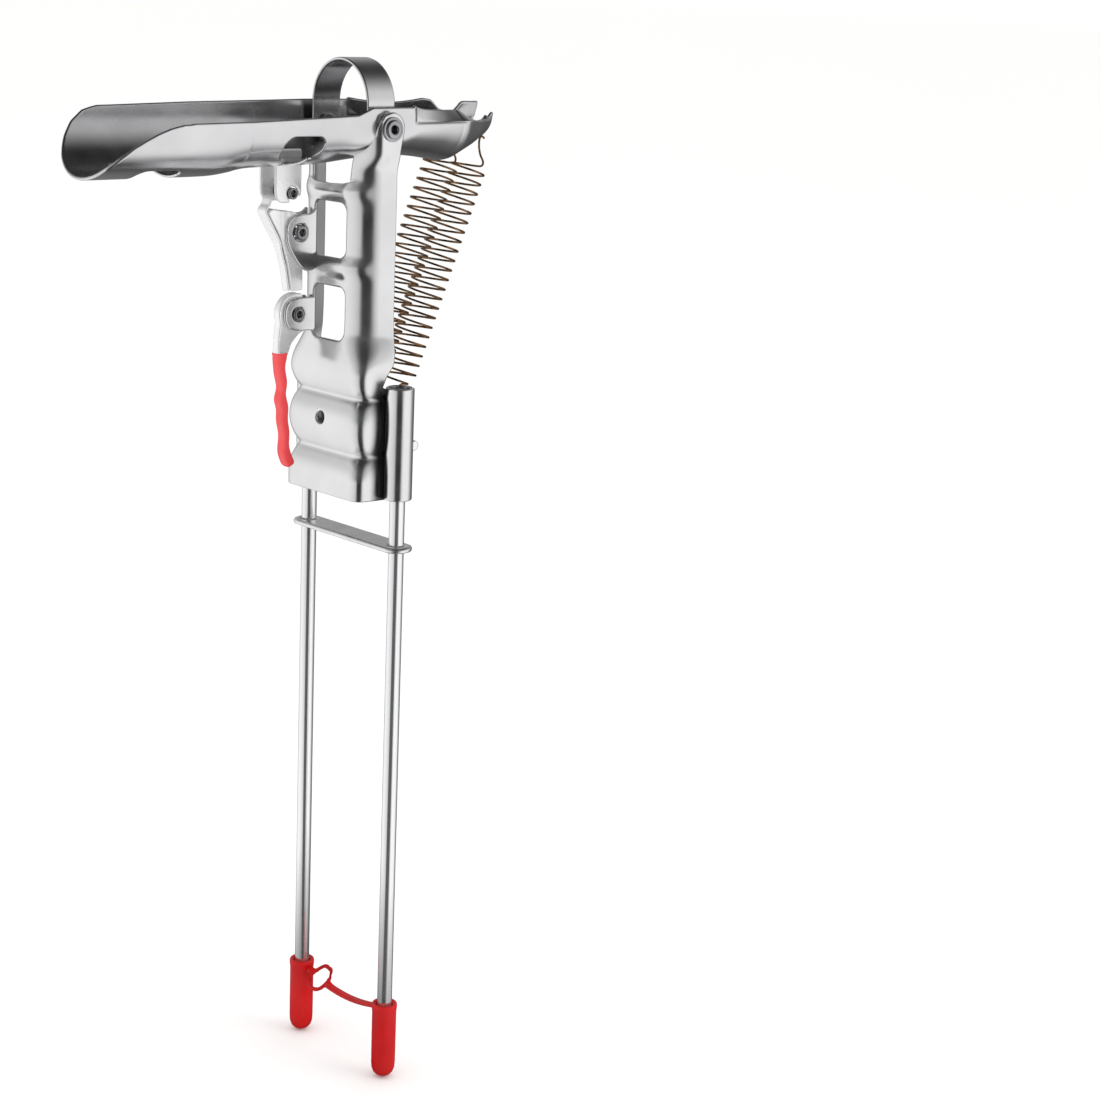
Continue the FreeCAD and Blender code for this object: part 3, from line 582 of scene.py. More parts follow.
# x from the pivot, then height of the fold, and y and z of the turned-in rim
RIGHT_RIM = np.array([
    (-122.0, 6.0, 21.4, 8.8),
    (TAIL_START, 6.0, 21.3, 8.8),
    (15.0, 3.0, 20.6, 6.8),
    (30.0, 2.2, 17.6, 6.3),
    (39.6, 2.4, 15.0, 6.4),
    (46.0, 2.2, 13.0, 3.6),
    (51.0, 1.8, 11.6, 1.9),
    (56.0, 1.6, 10.2, 2.4),
    (61.0, 1.8, 8.6, 5.0),
    (69.0, 2.0, 7.0, 7.0),
])
LEFT_RIM = np.array([
    (-122.0, 6.0, 21.4, 8.8),
    (TAIL_START, 6.0, 21.3, 8.8),
    (17.0, 3.0, 19.4, 8.0),
    (30.0, 2.2, 13.8, 7.4),
    (37.0, 2.4, 10.6, 8.6),
    (41.0, 2.6, 9.4, 9.4),
    (45.5, 2.6, 8.8, 8.8),
    (49.5, 2.4, 8.4, 5.0),
    (56.0, 2.4, 7.2, 4.4),
    (58.5, 2.4, 6.4, 8.2),
    (69.0, 2.4, 6.0, 7.8),
])


def cradle_half(x, rim):
    """One side of the trough from the middle of its bottom to its rim, folded in at the tail."""
    low, half, depth = [np.interp(x, TROUGH[:, 0], TROUGH[:, c]) for c in (1, 2, 3)]
    fold_z, rim_y, rim_z = [np.interp(x, rim[:, 0], rim[:, c]) for c in (1, 2, 3)]
    fine = np.stack([low, half, depth, fold_z, rim_y, rim_z], -1)
    fine = np.where(x[:, None] > 38, blurred(fine, 1.6, 0), blurred(fine, 5.0, 0))
    low, half, depth, fold_z, rim_y, rim_z = fine.T[:, :, None]
    turn = np.linspace(0, math.pi / 2, 52)[None, :]
    bottom_y = half * np.sin(turn)
    bottom_z = low - depth * np.cos(turn)
    fold = np.maximum(fold_z, low + 0.4)
    rise = np.linspace(0, 1, 10)[None, 1:]
    wall_y = half + 0 * rise
    wall_z = low + (fold - low) * rise
    lean = np.linspace(0, 1, 18)[None, 1:]
    flange_y = half + (rim_y - half) * lean
    flange_z = fold + (rim_z - fold) * lean
    y = np.concatenate([bottom_y, wall_y, flange_y], 1)
    z = np.concatenate([bottom_z, wall_z, flange_z], 1)
    return points_at(x[:, None], y, z)


def cradle_grid():
    """The cradle's outer surface: rows along X, columns from one rim round to the other."""
    x = np.concatenate([np.arange(-121.0, -60, 0.8), np.arange(-60, 10, 0.7), np.arange(10, 69.1, 0.5)])
    sides = [cradle_half(x, rim) for rim in (RIGHT_RIM, LEFT_RIM)]
    whole = np.concatenate([sides[0][:, ::-1] * (1, -1, 1), sides[1][:, 1:]], 1)
    whole = blurred(whole, 1.5, 1)
    # the tail's upper strip is set in by a small step behind a crisp corner
    behind = ramp(whole[..., 0], TAIL_START - 0.2, TAIL_START + 1.4)
    above = ramp(whole[..., 2], 1.2, 2.6) * ramp(-whole[..., 0], -44, -36)
    whole[..., 1] -= np.sign(whole[..., 1]) * 0.7 * behind * above
    return whole + PIVOT


def cradle_field(grid):
    x, y, z = np.moveaxis(grid - PIVOT, -1, 0)
    # nose: a long S-shaped sweep from the rim down to the tip; the left wall stands taller
    near = y < 0
    right_nose = np.array([(-84.0, 2.6), (-90.0, 1.9), (-95.6, 0.6), (-100.4, -1.2), (-105.0, -3.6),
                           (-109.5, -6.4), (-113.5, -9.8), (-116.6, -13.2), (-119.0, -17.2)])
    left_nose = np.array([(-94.0, 6.6), (-100.0, 5.8), (-105.0, 4.4), (-109.5, 0.6), (-113.0, -4.6),
                          (-116.6, -11.4), (-119.0, -17.2)])
    right_cut, left_cut = [np.interp(-z, -curve[:, 1], curve[:, 0]) for curve in (right_nose, left_nose)]
    field = x - np.where(near, np.where(z > 2.6, -84.0 + (z - 2.6) * 9, right_cut),
                         np.where(z > 6.6, -94.0 + (z - 6.6) * 9, left_cut))
    stations = [-120, -94, -60, -14, -7, TAIL_START - 1, TAIL_START, 20, 70]
    right_rim = np.interp(x, stations, [2.6, 2.6, 3.2, 5.0, 7.6, 7.8, 8.2, 14.0, 14.0])
    left_rim = np.interp(x, stations, [6.2, 6.6, 7.6, 8.3, 8.4, 8.4, 8.5, 14.0, 14.0])
    field = np.minimum(field, np.where(near, right_rim, left_rim) - z)
    slot = rounded_box(x, y, (-92.7, 0.0), (8.7, 11.5), 3.5)
    field = np.where(z < 0, np.minimum(field, -slot), field)
    oval = rounded_box(x, z, (-36.2, -6.9), (9.0, 4.2), 4.0)
    arch = rounded_box(x, z, (-35.0, -13.6), (4.6, 5.6), 3.0)
    opening = np.maximum(oval, np.where(near, arch - 0.2, oval))
    field = np.minimum(field, -opening)
    # the tail's end slopes back; the right side ends in a point and the left in a rounded tab
    shared = [(-130, 30), (-130, -40), (56.4, -40), (57.0, -9), (59.2, -5.0)]
    pointed = inside_polygon(x, z, shared + [(65.0, 6.2), (60.0, 3.6), (56, 6), (50, 30)])
    tab = inside_polygon(x, z, rounded_outline(shared + [(66.6, 1.6), (67.2, 8.0), (65.6, 30)], 1.6))
    field = np.minimum(field, np.where(near, pointed, tab))
    for eye_y in (8.0, -8.0):
        eye = 1.3 - np.hypot(x - 56.2, y - eye_y)
        field = np.where(z < 0, np.minimum(field, -eye), field)
    return np.minimum(field, np.hypot(x, z) - RIVET_BORE)


def make_cradle():
    grid = cradle_grid()
    piece = mesh_object("cradle_shell", *sheet_part(grid, cradle_field(grid), flip=True),
                        "cradle", "stamped_steel", MATERIALS["cradle"])
    # painted shade: faces that look towards the trough's middle line get a darker copy of the steel for
    # the shade inside the trough, and a rougher gloss
    piece.data.materials.append(MATERIALS["cradle_inside"])
    axis = Vector((0, 0, (PIVOT[2] + 5.0) * MM))
    for polygon in piece.data.polygons:
        outward = polygon.center - axis
        outward.x = 0
        if polygon.normal.dot(outward) < 0:
            polygon.material_index = 1
    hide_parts("rod_cradle")


# ---- stand -----------------------------------------------------------------------------

STAND_TOP = 388.0
STAND_BOTTOM = 240.5
SLEEVE_TOP = 285.0
SLEEVE_RADIUS = 4.35
UPPER_WEB = (-13.6, 17.4)
LOWER_WEB = (-16.4, 22.8)
GROOVES = (101.5, 123.5)
RIBS = (24.0, 52.4)


def scallops(drop):
    """Depth of the two grooves pressed into the lower web, with full round swells between."""
    phase = np.abs(np.sin(math.pi * (drop - GROOVES[0]) / (GROOVES[1] - GROOVES[0])))
    depth = 4.2 * (1 - phase ** 0.62)
    return depth * ramp(drop, 89, 93) * (1 - ramp(drop, 131, 134))


def rib_height(drop):
    height = np.zeros_like(drop)
    for middle in RIBS:
        height = np.maximum(height, 1.6 * ramp(5.2 - np.abs(drop - middle), 0, 4.6))
    return height


def stand_grid():
    """The stand's outer surface: rows up the stand, columns from right rear edge to left."""
    z = np.arange(STAND_BOTTOM, STAND_TOP, 0.6)
    drop = PIVOT[2] - z
    wide = ramp(drop, 77.5, 89.0) ** 0.7
    groove = scallops(drop)
    web_x = UPPER_WEB[0] + (LOWER_WEB[0] - UPPER_WEB[0]) * ramp(drop, 72, 98) + groove
    web_y = UPPER_WEB[1] + (LOWER_WEB[1] - UPPER_WEB[1]) * wide - groove * 0.8
    rear_y = 22.7 + 1.4 * ramp(drop, 66, 98)
    radius = 8.4 - 3.2 * ramp(drop, 82, 94)
    rear_x = 3.4
    rows = []
    for k in range(len(z)):
        corner = np.array((web_x[k], web_y[k]))
        rear = np.array((rear_x, rear_y[k] + (rear_x - 0.6) * 0.2))
        along = unit(rear - corner)
        reach = radius[k]
        start = corner + np.array((0, -1)) * reach
        end = corner + along * reach
        web = [np.array((web_x[k], y)) for y in np.linspace(0, start[1], 34)]
        flank = [end + (rear - end) * t for t in np.linspace(0, 1, 26)[1:]]
        half = np.array(web + bend(start, corner, end, 13)[1:] + flank)
        rows.append(np.concatenate([half[::-1] * (1, -1), half[1:]]))
    plan = np.array(rows)
    x, y = plan[..., 0], plan[..., 1]
    height = np.broadcast_to(z[:, None], x.shape).copy()
    # the pivot ears stand a little outside the flanks, in a plane of their own
    ear = ramp(height, PIVOT[2] - 16.5, PIVOT[2] - 8.5) * ramp(x, -14.0, -7.0)
    outer = np.sign(y) * 23.6
    y = y + (outer - y) * ear
    # pressed ribs wrap round the corners and die away on the flanks
    bulge = rib_height(PIVOT[2] - height) * (1 - ramp(x, -13.4, -8.6))
    grid = np.stack([x, y, height], -1)
    sideways = grid * (0, 1, 0) * np.clip(np.abs(y) - 12.0, 0, 6)[..., None] / 3
    outward = unit(sideways + np.array((-3.0, 0, 0)))
    grid = grid + outward * bulge[..., None]
    return blurred(blurred(grid, 1.2, 0), 1.0, 1)


def stand_field(grid):
    x, y, z = np.moveaxis(grid - PIVOT * (1, 0, 1), -1, 0)
    wide = np.abs(y)
    # front edge of the ears sweeping down into the top of the web
    front = np.array([(-25.0, -17.0), (-14.0, -14.6), (-11.6, -12.4), (-9.4, -8.6), (-7.2, -5.2),
                      (-6.1, -1.0), (-5.2, 2.6), (-3.2, 5.2), (0.0, 6.2)])
    edge_z = np.interp(x, front[:, 0], front[:, 1])
    web_edge = np.interp(wide, [0, 8, 13, 16, 17.4], [-21.0, -20.6, -19.4, -17.6, -15.6])
    field = np.where(x < -9.6, np.minimum(web_edge, edge_z), edge_z) - z
    ear = 6.3 - np.hypot(x, z)
    field = np.where(z > 0, np.minimum(field, ear), field)
    # the rear edge steps in above the sleeves, then runs into the rolled tubes
    rear = np.interp(-z, [-6.2, 0, 2, 8, 15, 84, 88, 92, 96, 97, 98.4, 160],
                     [6.2, 6.2, 5.8, 4.6, 4.2, 4.2, 3.4, 0.4, -1.2, -1.2, 2.1, 2.1])
    field = np.minimum(field, rear - x)
    for low, high in ((28.4, 48.6), (60.0, 80.0)):
        window = rounded_box(y, z, (0, -(low + high) / 2), (9.6, (high - low) / 2), 3.4)
        field = np.where(x < -5, np.minimum(field, -window), field)
    hole = 2.5 - np.hypot(y - 0.8, z + 110.6)
    field = np.where(x < -5, np.minimum(field, -hole), field)
    field = np.minimum(field, np.hypot(x, z) - RIVET_BORE)
    return np.minimum(field, z + 140.2)


def sleeve_part(side):
    """The sheet's edge rolled round a spike, with its seam at the back."""
    angle = np.linspace(math.radians(-172), math.radians(176), 84)
    z = np.concatenate([np.arange(STAND_BOTTOM + 0.9, 284.9, 1.1), [SLEEVE_TOP]])
    seam = math.radians(200)
    around = side * (angle + seam)
    grid = points_at(SLEEVE_RADIUS * np.cos(around),
                     side * SPIKE_Y + SLEEVE_RADIUS * np.sin(around), z[:, None])
    field = rounded_box(grid[..., 2], angle * SLEEVE_RADIUS, ((z[0] + z[-1]) / 2, 0.1),
                        ((z[-1] - z[0]) / 2, 13.2), 0.2)
    return sheet_part(grid, field, 1.15, flip=side < 0)


def make_stand():
    grid = stand_grid()
    parts = [sheet_part(grid, stand_field(grid))]
    parts += [sleeve_part(1), sleeve_part(-1)]
    lx, lz = LATCH_PIN[0], LATCH_PIN[2]
    tx, tz = TRIGGER_PIN[0], TRIGGER_PIN[2]
    web = UPPER_WEB[0] + 0.6
    latch_ear = [(web, PIVOT[2] - 30.4), (lx + 5.0, lz + 7.0), (lx - 2.4, lz + 6.8), (lx - 6.6, lz + 3.6),
                 (lx - 6.6, lz - 3.0), (lx - 4.6, lz - 7.2), (lx - 0.4, lz - 12.8), (lx + 3.0, lz - 15.0),
                 (web, lz - 14.4)]
    trigger_ear = [(web, tz + 6.4), (tx - 1.5, tz + 6.4), (tx - 5.6, tz + 4.4), (tx - 6.6, tz),
                   (tx - 5.6, tz - 4.4), (tx - 1.5, tz - 6.6), (web, tz - 6.6)]
    gap = 2.2
    for outline, hole, radii in ((latch_ear, (lx, lz, 3.3), [0.5, 3, 4, 4, 4, 4, 5, 1.5, 0.5]),
                                 (trigger_ear, (tx, tz, 2.7), [0.5, 4, 4, 4, 4, 4, 0.5])):
        parts += plate_pair(outline, gap + GAUGE, GAUGE, radii, hole)
    piece = mesh_object("stand_shell", *merged(parts), "stand", "stamped_steel", MATERIALS["sheet"])
    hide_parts("stand_body")


# ---- butt hoop -------------------------------------------------------------------------

def make_hoop():
    half, rise, width = 17.0, 25.0, 13.0
    legs = np.linspace(-8.0, rise - half, 34)
    arc = np.linspace(0, math.pi, 90)[1:]
    y = np.concatenate([np.full(len(legs), half), half * np.cos(arc), np.full(len(legs) - 1, -half)])
    z = np.concatenate([legs, rise - half + half * np.sin(arc), legs[::-1][1:]])
    x = np.linspace(-width / 2 - 1, width / 2 + 1, 46)
    grid = points_at(x[:, None], y, z)
    from_rivet = np.hypot(grid[..., 0], grid[..., 2])
    band = width / 2 - np.abs(grid[..., 0])
    # the legs end in round feet, each with a hole for its rivet
    field = np.where(grid[..., 2] < 0, width / 2 - from_rivet, band)
    field = np.where(grid[..., 2] < 4, np.minimum(field, from_rivet - RIVET_BORE), field)
    piece = mesh_object("butt_hoop_band", *sheet_part(grid + PIVOT, field, flip=True), "hoop",
                        "stamped_steel", MATERIALS["cradle"])
    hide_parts("butt_hoop")


# ---- spikes, crossbar, anchor rod, caps ------------------------------------------------

def make_spikes():
    for side, sign in SIDES:
        profile = [(0.0, 3.0), (0.5, 3.1), (3.0, 15.0), (3.0, 15.6)]
        profile += [(3.0, height) for height in np.linspace(20, 278, 26)]
        profile += [(3.0, 282.6), (2.6, 283.7), (2.0, 284.0), (0.0, 284.0)]
        part = turned(profile, (0, sign * SPIKE_Y, 0), (0, 0, 1), segments=96)
        piece = mesh_object(f"spike_{side}_bar", *part, "stand", "polished_rod", MATERIALS["chrome"])
        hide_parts(f"ground_spike_{side}")


def make_crossbar():
    low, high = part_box("crossbar")
    top, thick = high[2] / MM, (high[2] - low[2]) / MM
    half = (high[0] - low[0]) / MM / 2

    def metal(x, y):
        reach = np.maximum(np.abs(y) - SPIKE_Y, 0)
        field = half + 0.9 - np.hypot(x, reach)
        for sign in (1, -1):
            field = np.minimum(field, np.hypot(x, y - sign * SPIKE_Y) - 3.1)
        return field

    def place(x, y):
        return points_at(x, y, top)

    reach = SPIKE_Y + half + 2
    part = plate((-half - 2, half + 2), (-reach, reach), 0.5, metal, place, thick)
    piece = mesh_object("crossbar_plate", *part, "stand", "stamped_steel", MATERIALS["bar"])
    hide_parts("crossbar")


def make_anchor_rod():
    _, reach, radius = node_half("spring_anchor_rod")
    profile = [(0, -reach), (radius, -reach), (radius, reach), (0, reach)]
    part = turned(profile, node_middle("spring_anchor_rod"), (0, 1, 0), rounds=0.6)
    piece = mesh_object("anchor_rod_bar", *part, "stand", "polished_rod", MATERIALS["chrome"])
    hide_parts("spring_anchor_rod")


def make_caps():
    for side, sign in SIDES:
        profile = [(0, 0), (1.6, 0.12), (3.0, 0.75), (4.1, 2.0), (4.7, 3.8), (4.85, 6.0), (4.9, 12),
                   (4.9, 20), (4.9, 27.6), (4.95, 28.6), (5.05, 29.3), (5.15, 30.2), (5.15, 31.3),
                   (4.95, 31.8), (4.5, 32.0), (3.9, 31.8), (3.3, 31.2), (3.1, 30.2), (3.05, 24.0)]
        part = turned(profile, (0, sign * SPIKE_Y, 0), (0, 0, 1), segments=80)
        piece = mesh_object(f"cap_{side}_sleeve", *part, "caps", "cap_vinyl", MATERIALS["vinyl"])
        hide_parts(f"tip_cap_{side}")


def make_strap():
    half_width, thick, sag, top = 1.8, 1.6, 5.0, 31.2
    eye_y, eye_outer, eye_inner = SPIKE_Y - 12.4, 5.4, 3.5

    def metal(x, y):
        band = rounded_box(x, y, (0, 0), (half_width, SPIKE_Y - 4.6), 0.3)
        from_eye = np.hypot(x, y - eye_y)
        return np.minimum(np.maximum(band, eye_outer - from_eye), from_eye - eye_inner)

    def place(x, y):
        # the strap sags, and its pull ring is twisted up
        height = top - sag * (1 - (y / SPIKE_Y) ** 2)
        twist = 0.75 * ramp(7.5 - np.abs(y - eye_y), 0, 5)
        return points_at(x, y, height + x * twist)

    part = plate((-6.5, 6.5), (-SPIKE_Y, SPIKE_Y), 0.4, metal, place, thick)
    piece = mesh_object("cap_strap_band", *part, "caps", "cap_vinyl", MATERIALS["vinyl"])
    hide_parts("tip_cap_strap")


# ---- rivets, washers, pins -------------------------------------------------------------

def pivot_ring(node, sign, bore, rim, rounds):
    """A plain ring on the pivot's axis that fills a node's reach along Y."""
    inner, outer = side_reach(node)
    ring = [(bore, inner), (rim, inner), (rim, outer), (bore, outer), (bore, inner)]
    return turned(ring, (PIVOT[0], 0, PIVOT[2]), (0, sign, 0), rounds=rounds)


def pivot_rivet(node, sign):
    """A tubular rivet with a rolled head at either end."""
    inner, outer = side_reach(node)
    profile = [(1.2, inner - 0.1), (1.5, inner), (3.3, inner), (3.6, inner + 0.4), (3.5, inner + 0.9),
               (2.2, inner + 0.95), (2.2, outer - 1.0), (3.3, outer - 0.95), (3.55, outer - 0.5),
               (3.2, outer - 0.1), (2.5, outer), (1.8, outer - 0.15), (1.35, outer - 0.7),
               (1.3, inner + 1), (1.2, inner - 0.1)]
    return turned(profile, (PIVOT[0], 0, PIVOT[2]), (0, sign, 0), rounds=0.2)


def make_pivots():
    steel_look = MATERIALS["fastener"]
    for side, sign in SIDES:
        washer = pivot_ring(f"pivot_washer_{side}", sign, 2.3, 4.6, 0.25)
        piece = mesh_object(f"washer_{side}_ring", *washer, "stand", "fastener_steel", steel_look)
        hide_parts(f"pivot_washer_{side}")
        rivet = pivot_rivet(f"pivot_rivet_{side}", sign)
        piece = mesh_object(f"rivet_{side}_tube", *rivet, "stand", "fastener_steel", steel_look)
        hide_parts(f"pivot_rivet_{side}")
        spacer = pivot_ring(f"hoop_spacer_{side}", sign, 2.3, 3.6, 0.3)
        body = NODES[f"hoop_spacer_{side}"]["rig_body"]
        piece = mesh_object(f"spacer_{side}_ring", *spacer, body, "fastener_steel", steel_look)
        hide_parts(f"hoop_spacer_{side}")


def hollow_pin(name, node, radius, head, head_thick):
    """A tubular pin along Y with rolled heads."""
    reach = node_half(node)[1]
    shoulder = reach - head_thick
    bore = radius * 0.76
    half = [(0, reach - 2.4), (bore, reach - 2.4), (bore, reach - 0.4), (bore + 0.35, reach),
            (head * 0.80, reach), (head * 0.97, reach - head_thick * 0.4), (head, shoulder),
            (head * 0.9, shoulder - 0.5), (radius, shoulder - 0.6)]
    profile = [(r, -h) for r, h in half] + list(reversed(half))
    part = turned(profile, node_middle(node), (0, 1, 0), rounds=0.12)
    body = NODES[node]["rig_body"]
    piece = mesh_object(name, *part, body, "fastener_steel", MATERIALS["fastener"])
    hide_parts(node)


# ---- levers, catch bracket and grip ----------------------------------------------------

def evenly_spread(path, count):
    """A path of points spread evenly along its length."""
    run = np.concatenate([[0], np.cumsum(np.linalg.norm(np.diff(path, axis=0), axis=1))])
    even = np.linspace(0, run[-1], count)
    return np.stack([np.interp(even, run, column) for column in path.T], -1)


def smooth_line(corners, count):
    """A smooth run of points through corners."""
    return blurred(evenly_spread(np.array(corners, float), count), 2.0, 0)


def wall_grid(corners, count, half_width, columns):
    """A grid that follows a line in the XZ plane and spans a width about the latch's plane."""
    line = smooth_line(corners, count)
    across = np.linspace(-half_width, half_width, columns)
    return points_at(line[:, :1], LATCH_Y + across, line[:, 1:])


def make_latch_lever():
    """Two side plates that flare into a wide head, joined by a front wall with a hooked end."""
    x0, z0 = LATCH_PIN[0], LATCH_PIN[2]
    foot = TRIGGER_PIN[2] + 8.9
    side = [(x0 - 15.0, z0 + 8.0), (x0 - 12.2, z0 + 9.4), (x0 - 9.0, z0 + 8.6), (x0 - 2.0, z0 + 7.8),
            (x0 + 2.0, z0 + 5.6), (x0 + 2.4, z0 - 8.0), (x0 + 2.4, foot), (x0 - 3.2, foot),
            (x0 - 4.8, z0 - 13.0), (x0 - 7.8, z0 - 3.4)]
    outline = rounded_outline(side, [0.6, 1.5, 2, 2, 2, 2, 0.8, 0.8, 4, 4])
    widening = 0.9

    def metal(x, z):
        return np.minimum(inside_polygon(x, z, outline), np.hypot(x - x0, z - z0) - 2.4)

    parts = []
    for towards in (-1, 1):
        def place(x, z, towards=towards):
            flare = widening * ramp(x0 - 4.0 - x, 0, 5) * ramp(z, z0 - 8, z0)
            return points_at(x, LATCH_Y + towards * (2.0 + flare), z)

        parts.append(plate(*ranges_round(outline, 0.4), 0.3, metal, place, 1.0, flip=towards > 0))
    front = [(x0 - 3.6, foot + 0.4), (x0 - 5.2, z0 - 13.0), (x0 - 8.2, z0 - 3.5),
             (x0 - 14.4, z0 + 6.6), (x0 - 15.4, z0 + 8.0), (x0 - 15.0, z0 + 9.2),
             (x0 - 13.6, z0 + 10.0), (x0 - 13.2, z0 + 11.2), (x0 - 12.9, z0 + 12.6),
             (x0 - 11.8, z0 + 13.4), (x0 - 10.4, z0 + 13.2), (x0 - 9.7, z0 + 12.2)]
    grid = wall_grid(front, 110, 4.2, 26)
    half = 1.9 + widening * ramp(grid[..., 2], z0 - 8, z0)
    field = np.minimum(half - np.abs(grid[..., 1] - LATCH_Y), 1.0)
    parts.append(sheet_part(grid, field, LEVER_WALL, flip=True))
    piece = mesh_object("latch_lever_plates", *merged(parts), "latch", "lever_steel",
                        MATERIALS["lever"])
    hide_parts("latch_lever")


def make_catch_bracket():
    front, rear = PIVOT[0] - 30.6, PIVOT[0] - 18.4
    top, bottom = PIVOT[2] - 9.0, PIVOT[2] - 29.0
    outline = [(front, top), (rear, top), (rear, bottom), (front, bottom)]
    parts = plate_pair(outline, 5.2, GAUGE, [0.6, 0.6, 4.5, 4.5], (CATCH_PIN[0], CATCH_PIN[2], 2.6))
    piece = mesh_object("catch_bracket_plates", *merged(parts), NODES["catch_bracket"]["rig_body"],
                        "lever_steel", MATERIALS["lever"])
    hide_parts("catch_bracket")


def make_roller():
    reach = node_half("catch_roller")[1]
    profile = [(1.6, -reach), (2.2, -reach), (2.2, reach), (1.6, reach), (1.6, -reach)]
    part = turned(profile, node_middle("catch_roller"), (0, 1, 0), rounds=0.2)
    piece = mesh_object("catch_roller_tube", *part, NODES["catch_roller"]["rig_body"],
                        "fastener_steel", MATERIALS["fastener"])
    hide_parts("catch_roller")


def make_trigger():
    """A round cam and an arm: two side plates joined by a wall round the cam."""
    x0, z0 = TRIGGER_PIN[0], TRIGGER_PIN[2]
    cam_radius = 8.0
    angles = np.radians(np.linspace(52, 232, 26))
    cam = [(x0 + cam_radius * math.cos(a), z0 + cam_radius * math.sin(a)) for a in angles]
    cam = [c for c in cam if c[0] < x0 + 3.2 and c[1] > z0 - 4]
    cam_top = (x0 + 3.2, z0 + 7.2)
    arm = [(x0 - 8.3, z0 - 9.6), (x0 - 8.4, z0 - 15.3)]
    back = [(x0 - 3.4, z0 - 15.3), (x0 - 2.0, z0 - 11.4), (x0 + 1.6, z0 - 7.8), (x0 + 4.6, z0 - 6.6)]
    side = [(x0 + 3.2, z0 - 1.0), cam_top] + cam + arm + back
    parts = plate_pair(side, 1.9, 1.0, 1.0, (x0, z0, 2.4))
    grid = wall_grid([cam_top] + cam + arm, 80, 2.4, 14)
    field = 1.5 - np.abs(grid[..., 1] - LATCH_Y)
    parts.append(sheet_part(grid, field, LEVER_WALL, flip=True))
    piece = mesh_object("trigger_lever_plates", *merged(parts), "trigger", "lever_steel",
                        MATERIALS["lever"])
    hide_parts("trigger_lever")


def make_grip():
    """Rounded-box rings between the grip's wavy front and rear lines."""
    x0, z0 = TRIGGER_PIN[0], TRIGGER_PIN[2]
    front = [(-8.7, -14.8), (-7.7, -23.2), (-6.1, -28.6), (-7.8, -33.0), (-6.2, -37.2), (-6.5, -41.0),
             (-5.0, -47.1), (-5.7, -53.7), (-4.2, -57.8), (-2.6, -60.2)]
    rear = [(-3.4, -14.8), (-4.9, -20.2), (-3.5, -26.1), (-4.5, -30.3), (-2.8, -35.5), (-3.2, -40.6),
            (-2.2, -45.4), (-2.5, -50.9), (-1.0, -55.0), (0.9, -58.4)]
    rings, sides, squareness, half_thick = 110, 48, 0.42, 2.3
    front_line, rear_line = [blurred(smooth_line(line, rings), 2.2, 0) for line in (front, rear)]
    angles = np.linspace(0, 2 * math.pi, sides, endpoint=False)
    cos, sin = np.cos(angles), np.sin(angles)
    box_x = np.sign(cos) * np.abs(cos) ** squareness
    box_y = np.sign(sin) * np.abs(sin) ** squareness
    rows = []
    for k in range(rings):
        near_end = min(k, rings - 1 - k) / 5.0
        swell = math.sqrt(max(1 - (1 - min(near_end, 1.0)) ** 2, 0.0)) * 0.55 + 0.45
        if k < 3:
            swell = 1.0
        middle = (front_line[k] + rear_line[k]) / 2
        half = (rear_line[k] - front_line[k]) / 2
        rows.append(points_at(x0 + middle[0] + half[0] * box_x * swell,
                              LATCH_Y + half_thick * box_y * swell,
                              z0 + middle[1] + half[1] * box_x * swell))
    faces = tube_faces(rings, sides, inward=True)
    faces.append(tuple(range(sides)))
    faces.append(tuple(reversed(range((rings - 1) * sides, rings * sides))))
    piece = mesh_object("grip_moulding", np.concatenate(rows), faces, "trigger", "grip_plastic",
                        MATERIALS["grip"])
    piece.visible_glossy = False
    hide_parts("trigger_grip")


# ---- springs ---------------------------------------------------------------------------

def spring_path(sign):
    """Hook round the anchor rod, open coils, and a long hook up through the tail."""
    y = sign * 8.2
    foot = np.array((13.2, y, 282.8))
    top = np.array((48.2, y, 366.4))
    # the turns lie a little flatter than square to the spring's axis
    lean = unit(np.array((0.22, -0.05, 0.974)))
    front = unit(np.array((1.0, 0.0, -lean[0] / lean[2])))
    side = np.cross(lean, front)
    turns, radius = 23.0, 7.0
    t = np.linspace(0, 1, int(turns * 40))
    angle = -2 * math.pi * turns * t
    squeeze = 0.55 + 0.45 * ramp(t, -0.03, 0.05)
    reach = (radius * squeeze)[:, None]
    around = np.outer(np.cos(angle), front) + np.outer(np.sin(angle), side)
    coil = foot + np.outer(t, top - foot) + reach * around
    rod = np.array((6.3, y, 262.0))
    hook = [rod + 2.9 * np.array((math.cos(a), 0, math.sin(a)))
            for a in np.radians(np.linspace(-150, 40, 16))]
    lead = [rod + (4.2, 0, 6.0), rod + (7.0, 0, 12.0), foot + (-1.0, 0, -4.0), foot + (3.6, 0, -0.8)]
    eye = np.array((PIVOT[0] + 56.2, y, PIVOT[2] - 6.8))
    last = coil[-1]
    tail = [last + (0.8, 0, 1.6), last + (-1.2, 0, 4.4), eye + (0.4, 0, -2.0), eye + (0.4, 0, 1.6),
            eye + (1.6, 0, 3.0), eye + (3.0, 0, 1.6)]
    path = np.concatenate([np.array(hook), np.array(lead), coil, np.array(tail)])
    length = np.linalg.norm(np.diff(path, axis=0), axis=1).sum()
    return blurred(evenly_spread(path, int(length / 0.8)), 1.1, 0), foot, top


def make_springs():
    for side, sign in SIDES:
        path, foot, top = spring_path(sign)
        wire = swept(path, 0.42, 10)
        piece = mesh_object(f"spring_{side}_wire", *wire, None, "spring_steel", MATERIALS["wire"])
        piece.visible_glossy = False
        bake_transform(piece)
        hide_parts(f"spring_{side}")


# ---- camera, light and floor -----------------------------------------------------------

